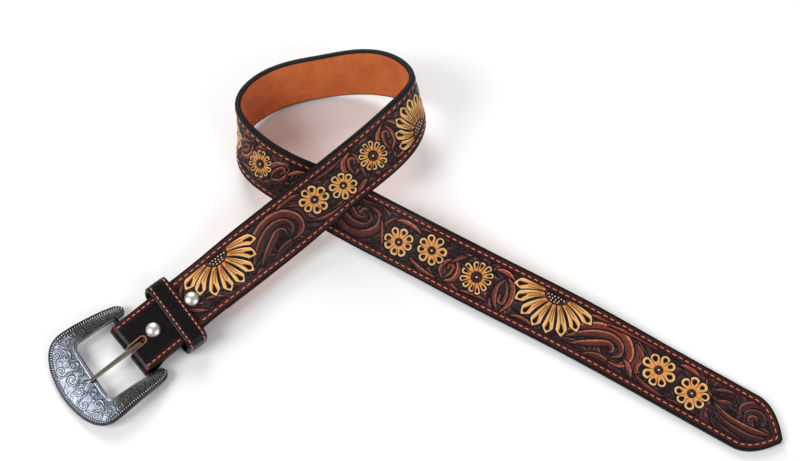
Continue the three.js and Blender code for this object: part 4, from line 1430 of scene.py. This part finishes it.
def slot_cutter():
    """What the tongue's slot takes out of the fold, with a round end."""
    axes, radius, clear = fold_axes(), SLOT_WIDTH / 2, FOLD_OUTER + 2
    turns = np.radians(np.linspace(-90, 90, 17))
    end = SLOT_END - FOLD_OUTER - radius
    bow = np.stack([end + radius * np.cos(turns), SLOT_OFFSET + radius * np.sin(turns)], 1)
    outline = np.vstack([[(-clear, SLOT_OFFSET - radius)], bow, [(-clear, SLOT_OFFSET + radius)]])
    rings = np.array([in_axes(axes, np.insert(outline, 2, height, 1)) for height in (-clear, clear)])
    return lofted("slot_cutter", rings, "raw_leather", sharp=30)


def slot_lip():
    """The light bevel along the slot's rim, round its end and down the fold."""
    axes = fold_axes()
    radius, bend, lip_radius = SLOT_WIDTH / 2, FOLD_OUTER - 0.12, 0.23
    end = SLOT_END - FOLD_OUTER - radius
    rise = np.radians(np.linspace(-35, 90, 14))
    side = np.stack([-bend * np.cos(rise), np.full(14, -radius), bend * np.sin(rise)], 1)
    run = np.linspace(0, end, 6)[1:-1]
    flat = np.stack([run, np.full(len(run), -radius), np.full(len(run), bend)], 1)
    turns = np.radians(np.linspace(-90, 90, 15))
    bow = np.stack([end + radius * np.cos(turns), radius * np.sin(turns), np.full(15, bend)], 1)
    half = np.vstack([side, flat])
    line = np.vstack([half, bow, half[::-1] * (1, -1, 1)])
    heading = unit(np.gradient(line, axis=0))
    out = np.stack([np.minimum(line[:, 0], 0), np.zeros(len(line)), line[:, 2]], 1)
    out = unit(out - heading * (out * heading).sum(1, keepdims=True))
    turns = np.linspace(0, 2 * math.pi, 8, endpoint=False)[:, None]
    rings = []
    for place, up, ahead in zip(line, out, heading):
        ring = place + lip_radius * (np.cos(turns) * up + np.sin(turns) * np.cross(ahead, up))
        rings.append(in_axes(axes, ring + (0, SLOT_OFFSET, 0)))
    return lofted("slot_lip", np.array(rings), "raw_leather", sharp=80)


def fold_stitches():
    """Fine stitches along both edges of the plain buckle end."""
    inset = STRAP_WIDTH / 2 - PLAIN_INSET
    points, headings, rises = [], [], []
    for side in (-1, 1):
        line = np.stack([np.linspace(FOLD_OUTER - 1.5, TOOLED_FROM, 60), np.full(60, side * inset)], 1)
        places, _ = spaced(line, FINE_PITCH)
        _, along, _, face = strap.axes(places[:, 0])
        points.append(strap.points(places[:, 0], places[:, 1], FACE_UP))
        headings.append(along)
        rises.append(face)
    return beads("fold_stitches", np.vstack(points), np.vstack(headings), np.vstack(rises), FINE_STITCH,
                 "fine_thread")


def keeper_axes():
    """Axes of the keeper: origin in the strap's middle, x along, y across and z out of the face."""
    middle, along, across, face = strap.axes_at(KEEPER_PLACE)
    turn = math.radians(KEEPER_TURN)
    ahead = along * math.cos(turn) + across * math.sin(turn)
    return middle, ahead, np.cross(face, ahead), face


def keeper_path(offset, steps=9):
    """The keeper's path round the strap, at an offset out from its inner side."""
    low = KEEPER_TOP - KEEPER_HEIGHT
    return round_corners(
        -KEEPER_HALF_WIDTH - offset, KEEPER_HALF_WIDTH + offset, low - offset, KEEPER_TOP + offset,
        KEEPER_CORNER + offset * 0.4, steps)


def even_loop(points, count):
    """The same number of even steps round a closed outline."""
    closed = np.vstack([points, points[:1]])
    travelled = lengths_along(closed)
    return points_at(closed, travelled, np.linspace(0, travelled[-1], count, endpoint=False))


def on_keeper(along, round_it):
    """Points along the strap and round the keeper, which leans towards the buckle lower down."""
    raked = along + (round_it[:, 1:] - KEEPER_TOP) * KEEPER_RAKE
    return in_axes(keeper_axes(), np.hstack([raked, round_it]))


def keeper():
    """A band of dark leather round the doubled strap."""
    count = 220
    inner, outer = (even_loop(keeper_path(offset), count) for offset in (0, KEEPER_WALL))
    half = KEEPER_LENGTH / 2
    rounded = np.array([(0.9, 0.0), (0.3, 0.08), (0.0, 0.35), (0.0, 0.65), (0.3, 0.93)])
    edge_in = np.stack([half - rounded[:, 0], rounded[:, 1]], 1)
    long_side = np.linspace(half - 0.5, -half + 0.5, 24)[1:-1]
    crown = np.stack([long_side, 1 + 0.06 * np.cos(long_side / half * math.pi / 2)], 1)
    section = np.vstack([edge_in, crown, edge_in[::-1] * (-1, 1)])
    rings = np.array([on_keeper(along, inner + (outer - inner) * depth) for along, depth in section])
    along, outside = np.abs(section[:, 0]), section[:, 1] > 0.9
    edge = np.where(outside, np.clip((along - half + 1.1) / 0.5, 0, 1), 0.7)
    groove = np.where(outside, bump_at(along, half - 2.4, 0.5), 0)
    band = np.where(outside, bump_at(along, half - 2.0, 1.2) * 0.6, 0)
    layers = {name: np.repeat(values, count) for name, values in
              (("edge", edge), ("cut", groove), ("band", band))}
    return closed_tube("keeper_band", rings, "plain_leather", layers)


def keeper_stitches():
    """Two lines of stitches round the keeper's outside."""
    _, ahead, across, face = keeper_axes()
    outer = even_loop(keeper_path(KEEPER_WALL + 0.1), 400)
    closed = np.vstack([outer, outer[:1]])
    places, run = spaced(closed, FINE_PITCH)
    heading = across * run[:, :1] + face * run[:, 1:]
    rise = np.cross(heading, ahead)
    centre = places.mean(0)
    outward = across * (places[:, :1] - centre[0]) + face * (places[:, 1:] - centre[1])
    rise *= np.sign((rise * outward).sum(1, keepdims=True))
    inset = KEEPER_LENGTH / 2 - KEEPER_INSET
    points = np.vstack([on_keeper(along, places) for along in (-inset, inset)])
    return beads("keeper_stitches", points, np.tile(heading, (2, 1)), np.tile(rise, (2, 1)), FINE_STITCH,
                 "fine_thread")


def screw(name, distance):
    """A domed head, its post through both leaves and a flat back."""
    soft, under, over = 0.3, TURN_BACK_TOP - LEATHER - 0.1, FACE_UP + 0.05
    profile = [
        (0.02, under - BACK_THICKNESS), (BACK_RADIUS - soft, under - BACK_THICKNESS),
        (BACK_RADIUS, under - BACK_THICKNESS + soft), (BACK_RADIUS, under), (POST_RADIUS, under),
        (POST_RADIUS, over), (HEAD_RADIUS - soft, over), (HEAD_RADIUS, over + soft),
    ]
    for turn in np.radians(np.linspace(8, 89.5, 18)):
        profile.append((HEAD_RADIUS * math.cos(turn), FACE_UP + DOME_FROM + DOME_RISE * math.sin(turn)))
    turns = np.linspace(0, 2 * math.pi, 64, endpoint=False)
    ring = np.stack([np.cos(turns), np.sin(turns)], 1)
    axes = strap.axes_at(distance)
    rings = np.array([in_axes(axes, np.insert(radius * ring, 2, up, 1)) for radius, up in profile])
    return lofted(name, rings, "nickel", sharp=40)


def tooling_seeds():
    """Light beads: one in each flower and a cluster in each sunflower's disc."""
    flowers = [(row["distance"], row["across"]) for row in FLOWERS]
    discs = [
        (row["distance"] + seed["ahead"], row["side"] * (SEEDS_EDGE - seed["down"]))
        for row in SUNFLOWERS for seed in SUNFLOWER_SEEDS
    ]
    made = []
    kinds = (("flower_beads", flowers, 1.5, 1.75), ("sunflower_seeds", discs, 1.05, 1.6))
    for name, rows, size, up in kinds:
        places = np.array(rows)
        _, along, _, face = strap.axes(places[:, 0])
        points = strap.points(places[:, 0], places[:, 1], up)
        made.append(beads(name, points, along, face, (size, size, size * 0.9), "seeds"))
    return made


# Pieces of the buckle

def buckle_axes():
    """Origin on the bar, x ahead of the strap, y along the bar and z up."""
    origin, along, _, _ = fold_axes()
    ahead = unit(-along * np.array([1.0, 1.0, 0.0]))
    turn = math.radians(BUCKLE_YAW)
    ahead = np.array([
        ahead[0] * math.cos(turn) - ahead[1] * math.sin(turn),
        ahead[0] * math.sin(turn) + ahead[1] * math.cos(turn), 0.0])
    up = np.array([0.0, 0.0, 1.0])
    return origin, ahead, np.cross(up, ahead), up


def on_buckle(points):
    return in_axes(buckle_axes(), points)


def arch(ahead):
    """Height and slope of the frame's arch at places ahead of the bar."""
    rise = math.tan(math.radians(FRAME_SLOPE))
    return ahead * rise - ahead ** 2 / (2 * ARCH_RADIUS), rise - ahead / ARCH_RADIUS


def on_plate(flat, up):
    """A flat point of the frame raised onto its arch."""
    height, slope = arch(flat[..., 0])
    steep = np.hypot(1, slope)
    return np.stack([
        flat[..., 0] - up * slope / steep, flat[..., 1] + BUCKLE_OFFSET, height + up / steep], -1)


def frame_edges(count=700):
    """Matching points on the frame's outer outline and on its window, arm end to arm end."""
    side = np.stack([FRAME_OUTLINE["ahead"], -FRAME_OUTLINE["half_width"]], 1)
    outer = smooth_line(np.vstack([side, side[-2::-1] * (1, -1)]), 30)
    turns = np.radians(np.linspace(0, 90, 14))
    corner = np.stack([
        WINDOW_LENGTH - WINDOW_CORNER * (1 - np.sin(turns)),
        -WINDOW_HALF_WIDTH + WINDOW_CORNER * (1 - np.cos(turns))], 1)
    share = np.linspace(0, 1, 10)[:, None]
    start, bend, end = (np.array(p, float) for p in (
        (ARM_END, -WINDOW_HALF_WIDTH - 3), (ARM_END + 0.6, -WINDOW_HALF_WIDTH),
        (ARM_END + 4, -WINDOW_HALF_WIDTH)))
    tip = (1 - share) ** 2 * start + 2 * share * (1 - share) * bend + share ** 2 * end
    half = np.vstack([tip, corner, [(WINDOW_LENGTH, 0.0)]])
    inner = np.vstack([half, half[-2::-1] * (1, -1)])

    def paced(line):
        """Even steps along each arm and round the front."""
        travelled = lengths_along(line)
        total, halfway = travelled[-1], len(line) // 2
        front = np.interp(FRONT_FROM, line[:halfway, 0], travelled[:halfway])
        arms = int(count * 0.22)
        middle = count - 2 * arms
        at = np.concatenate([
            np.linspace(0, front, arms, endpoint=False),
            np.linspace(front, total - front, middle, endpoint=False),
            np.linspace(total - front, total, arms)])
        return points_at(line, travelled, at)
    return paced(outer), paced(inner)


def engrave(relief, random):
    """Volutes on a leafy ground, on both halves of the buckle."""
    relief.fill(
        (-6, -34), (54, 34), spacing=(2.4, 2.2), length=3.4, half=0.46, random=random, tones=(0.15, 0.7))
    for side in (-1, 1):
        for row in VOLUTES:
            start = row["start"] * side
            relief.volute(row["ahead"], row["out"] * side, row["radius"], start, row["turns"] * side)


def buckle_frame():
    """The arched frame with its engraved plate, raised window line and rim."""
    outer, inner = frame_edges()
    width = np.linalg.norm(outer - inner, axis=1)
    columns = 58
    share = np.linspace(0, 1, columns)
    flat = inner[:, None] + (outer - inner)[:, None] * share[:, None]
    from_inner = width[:, None] * share
    from_outer = width[:, None] * (1 - share)
    relief = Relief(flat[..., 0].ravel(), flat[..., 1].ravel(), -0.08, **ENGRAVING)
    engrave(relief, np.random.default_rng(sizes().seed))
    ahead = flat[..., 0].ravel()
    inset, outset = from_inner.ravel(), from_outer.ravel()
    in_front = np.clip((ahead - FRONT_FROM) / FRONT_FADE, 0, 1)
    everywhere = np.arange(len(ahead))
    relief.height *= 0.35 + 0.65 * in_front
    line_reach = 1.1 + 1.6 * in_front
    # Painted highlight along the raised line round the window
    relief.lay(everywhere, inset - line_reach, 0.0, shine=1.0)
    ridges = bump_at(inset, 0.75, 0.35) + bump_at(inset, 1.95, 0.35)
    relief.lay(everywhere, np.maximum(inset - line_reach + 0.2, 0.5 - in_front),
               0.35 * ridges - 0.1, cut=0.9 * bump_at(inset, 1.35, 0.2))
    relief.lay(everywhere, outset - GROOVE_REACH, -0.15, heart=1.0)
    relief.lay(everywhere, outset - RIM_WIDTH, 0.25, heart=0.88)
    crown = 0.4 * np.sin(np.pi * share)
    ease = np.clip(from_inner / 0.6, 0, 1) * np.clip(from_outer / 0.9, 0, 1)
    half = FRAME_THICKNESS / 2
    up = half * 0.55 + (half * 0.45 + relief.height.reshape(ease.shape) + crown) * np.sqrt(ease)
    under_share = np.array([1.0, 0.86, 0.5, 0.14, 0.0])
    under_up = np.array([-half * 0.2, -half, -half, -half, half * 0.1])
    under = inner[:, None] + (outer - inner)[:, None] * under_share[:, None]
    rings = np.concatenate([
        on_plate(flat, up), on_plate(under, np.broadcast_to(under_up, under.shape[:2]))], 1)
    rows = len(rings)
    layers = {}
    for layer, behind in (("cut", 0.0), ("shine", 0.0), ("heart", 0.5)):
        values = relief.paint[layer].reshape(rows, columns)
        tail = np.full((rows, len(under_share)), behind)
        layers[layer] = np.concatenate([values, tail], 1).ravel()
    # The front layer carries the painted reflection: the front is painted brighter than the arms
    front = in_front.reshape(rows, columns)
    layers["front"] = np.concatenate([front, front[:, -1:].repeat(len(under_share), 1)], 1).ravel()
    face_share = 0.85
    around = np.concatenate([
        np.linspace(0, face_share, columns, endpoint=False),
        np.linspace(face_share, 1, len(under_share) + 1)])
    return lofted("buckle_frame_engraved", on_buckle(rings), "antique_silver", around, layers, sharp=70)


def rope_edge():
    """Short bars side by side along the inside of the frame's rim."""
    outer, inner = frame_edges()
    line = outer + unit(inner - outer) * ROPE_INSET
    places, run = spaced(line, sizes().rope_pitch / MM)
    out = np.stack([run[:, 1], -run[:, 0]], 1)
    low, high = (np.full(len(places), FRAME_THICKNESS / 2 + rise) for rise in (0.05, 0.3))
    points, tips, tops = (on_buckle(on_plate(flat, up)) for flat, up in (
        (places, low), (places + out * 0.2, low), (places, high)))
    return beads("rope_edge", points, unit(tips - points), unit(tops - points), ROPE_BAR, "rope_silver")


def buckle_bar():
    """The round bar that the strap folds over."""
    turns = np.linspace(0, 2 * math.pi, 28, endpoint=False)
    round_bar = BAR_RADIUS * np.stack([np.cos(turns), np.sin(turns)], 1)
    reach = WINDOW_HALF_WIDTH + 2
    rings = np.array([
        on_buckle(np.insert(round_bar, 1, place + BUCKLE_OFFSET, axis=1)) for place in (-reach, 0, reach)])
    return lofted("buckle_bar", rings, "bar_metal")


def tongue_rod():
    """The tongue's tapered rod, from its eye to its blunt tip."""
    rest = arch(np.array(WINDOW_LENGTH))[0] + FRAME_THICKNESS / 2 + TONGUE_LIFT
    root_end, blunt = 0.6, 0.82
    rings = []
    for row in TONGUE_ROOT:
        section = round_corners(-row["half_width"], row["half_width"], row["low"], row["high"], 0.6)
        rings.append(np.insert(section, 0, row["ahead"], 1))
    for share in np.concatenate([np.linspace(0, 0.985, 40), [1.0]]):
        half = (TONGUE_ROOT_WIDTH + (TONGUE_TIP_WIDTH - TONGUE_ROOT_WIDTH) * share) / 2
        bottom = TONGUE_EYE_INNER + (rest - TONGUE_EYE_INNER) * math.sin(share * math.pi / 2)
        thickness = TONGUE_THICKNESS + (TONGUE_TIP_THICKNESS - TONGUE_THICKNESS) * share
        shrink = blunt if share == 1.0 else 1.0
        section = round_corners(-half * shrink, half * shrink, 0, thickness * shrink, 0.62) + (0, bottom)
        rings.append(np.insert(section, 0, root_end + (TONGUE_LENGTH - root_end) * share, 1))
    return lofted("tongue_rod", on_buckle(turned_tongue(np.array(rings))), "tongue_metal")


def turned_tongue(points):
    """Points of the tongue, turned and set aside as it lies on the bar."""
    turn = math.radians(TONGUE_SKEW)
    return np.stack([
        points[..., 0] * math.cos(turn) - points[..., 1] * math.sin(turn),
        points[..., 0] * math.sin(turn) + points[..., 1] * math.cos(turn) + TONGUE_OFFSET,
        points[..., 2]], -1)


def tongue_eye():
    """The ring of the tongue round the bar."""
    turns = np.linspace(0, 2 * math.pi, 40, endpoint=False)
    half = TONGUE_ROOT_WIDTH / 2
    section = round_corners(-half, half, TONGUE_EYE_INNER, TONGUE_EYE_OUTER, 0.4, 4)
    rings = np.array([
        on_buckle(np.stack([
            section[:, 1] * math.cos(turn), section[:, 0] + TONGUE_OFFSET,
            section[:, 1] * math.sin(turn)], 1))
        for turn in turns
    ])
    return closed_tube("tongue_eye", rings, "tongue_metal")


# Stage

def lay_floor():
    mesh = bpy.data.meshes.new("floor")
    corners = [(x * FLOOR_REACH, y * FLOOR_REACH, 0) for x, y in ((-1, -1), (1, -1), (1, 1), (-1, 1))]
    mesh.from_pydata(corners, [], [range(4)])
    mesh.materials.append(finish_for("table"))
    floor = new_object("floor", mesh)
    floor.location.z = -FLOOR_DROP


def hang_lamps():
    """Soft round lamps, each turned to the belt."""
    for row in LAMPS:
        lamp = bpy.data.lights.new(row["name"], "AREA")
        lamp.shape = "DISK"
        lamp.size = row["size"]
        lamp.energy = row["power"]
        light = new_object(row["name"], lamp)
        light.location = row["place"]
        light.rotation_mode = "QUATERNION"
        light.rotation_quaternion = (-light.location).to_track_quat("-Z", "Y")


def fill_daylight(scene):
    """Even white light from all around."""
    world = bpy.data.worlds.new("studio")
    world.use_nodes = True
    backdrop = world.node_tree.nodes["Background"]
    backdrop.inputs["Color"].default_value = (1, 1, 1, 1)
    backdrop.inputs["Strength"].default_value = DAYLIGHT
    scene.world = world
    scene.view_settings.view_transform = "Standard"


def set_camera(scene):
    """A camera in front of the belt and above it, aimed at the middle of its route."""
    camera = bpy.data.cameras.new("camera")
    camera.sensor_width = SENSOR_WIDTH
    camera.lens = FOCAL_PIXELS / PICTURE_WIDTH * SENSOR_WIDTH
    camera.clip_start, camera.clip_end = 0.05, 20
    shot = new_object("camera", camera)
    rise = math.radians(CAMERA_RISE)
    x, y, _ = -FOOTPRINT_MIDDLE * MM
    shot.location = (x, y - CAMERA_AWAY * math.cos(rise), CAMERA_AWAY * math.sin(rise))
    shot.rotation_euler = (math.radians(90) - rise, 0, 0)
    scene.camera = shot


# Operators

class BELT_OT_strap(bpy.types.Operator):
    """Build the tooled strap with its lining, stitches and beads"""

    bl_idname = "belt.strap"
    bl_label = "Tooled strap"

    def execute(self, context):
        shares = section_across(sizes().tooling_step / MM)
        stops = np.linspace(TOOLED_FROM, strap.length, TOOLED_STRETCHES + 1)
        for number, (start, end) in enumerate(zip(stops, stops[1:]), 1):
            piece = tooled_stretch(f"tooled_strap_{number}", start, end, shares)
            ride_on(piece, "strap", "tooled_leather", "strap_leather")
        ride_on(lining(), "strap", "suede", "strap_lining")
        for name, start, up, finish in (
                ("face_stitches", FACE_STITCHES_FROM, FACE_UP - 0.1, "thread"),
                ("lining_stitches", LINING_STITCHES_FROM, LINING_BACK + 0.26, "lining_thread")):
            ride_on(rows_of_stitches(name, start, up, finish), "strap", "tooled_leather")
        for piece in tooling_seeds():
            ride_on(piece, "strap", "tooled_leather")
        return {"FINISHED"}


class BELT_OT_buckle_end(bpy.types.Operator):
    """Build the plain folded end with its stitches, keeper and screws"""

    bl_idname = "belt.buckle_end"
    bl_label = "Buckle end"

    def execute(self, context):
        ride_on(fold_leather(), "strap", "dark_leather")
        ride_on(slot_lip(), "strap", "dark_leather")
        ride_on(fold_stitches(), "strap", "dark_leather")
        ride_on(keeper(), "strap", "dark_leather", "keeper")
        ride_on(keeper_stitches(), "strap", "dark_leather")
        for node, distance in SCREWS.items():
            ride_on(screw(node + "_domed", distance), "strap", "nickel", node)
        return {"FINISHED"}


class BELT_OT_buckle(bpy.types.Operator):
    """Build the engraved buckle frame, its rope edge and the tongue"""

    bl_idname = "belt.buckle"
    bl_label = "Buckle and tongue"

    def execute(self, context):
        ride_on(buckle_frame(), "buckle", "antique_silver", "buckle_frame")
        ride_on(rope_edge(), "buckle", "antique_silver")
        ride_on(buckle_bar(), "buckle", "antique_silver")
        ride_on(tongue_rod(), "tongue", "tongue_metal", "tongue")
        ride_on(tongue_eye(), "tongue", "tongue_metal")
        return {"FINISHED"}


class BELT_OT_stage(bpy.types.Operator):
    """Set the floor, the lights and the camera"""

    bl_idname = "belt.stage"
    bl_label = "Stage"

    def execute(self, context):
        lay_floor()
        hang_lamps()
        fill_daylight(context.scene)
        set_camera(context.scene)
        return {"FINISHED"}


class BELT_PT_panel(bpy.types.Panel):
    """Lists the belt's pieces, sizes and colours"""

    bl_idname = "BELT_PT_panel"
    bl_label = "Tooled belt"
    bl_space_type = "VIEW_3D"
    bl_region_type = "UI"
    bl_category = "Belt"

    def draw(self, context):
        for operator in OPERATORS:
            self.layout.operator(operator.bl_idname)
        for group in (context.scene.belt_sizes, context.scene.belt_colours):
            box = self.layout.box()
            for name in group.__annotations__:
                box.prop(group, name)


OPERATORS = (BELT_OT_strap, BELT_OT_buckle_end, BELT_OT_buckle, BELT_OT_stage)
CLASSES = (BeltSizes, BeltColours, *OPERATORS, BELT_PT_panel)


def register():
    for cls in CLASSES:
        bpy.utils.register_class(cls)
    bpy.types.Scene.belt_sizes = bpy.props.PointerProperty(type=BeltSizes)
    bpy.types.Scene.belt_colours = bpy.props.PointerProperty(type=BeltColours)


def unregister():
    del bpy.types.Scene.belt_colours
    del bpy.types.Scene.belt_sizes
    for cls in reversed(CLASSES):
        bpy.utils.unregister_class(cls)


def main():
    register()
    bpy.ops.belt.strap()
    bpy.ops.belt.buckle_end()
    bpy.ops.belt.buckle()
    bpy.ops.belt.stage()
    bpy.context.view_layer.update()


if __name__ == "__main__":
    main()
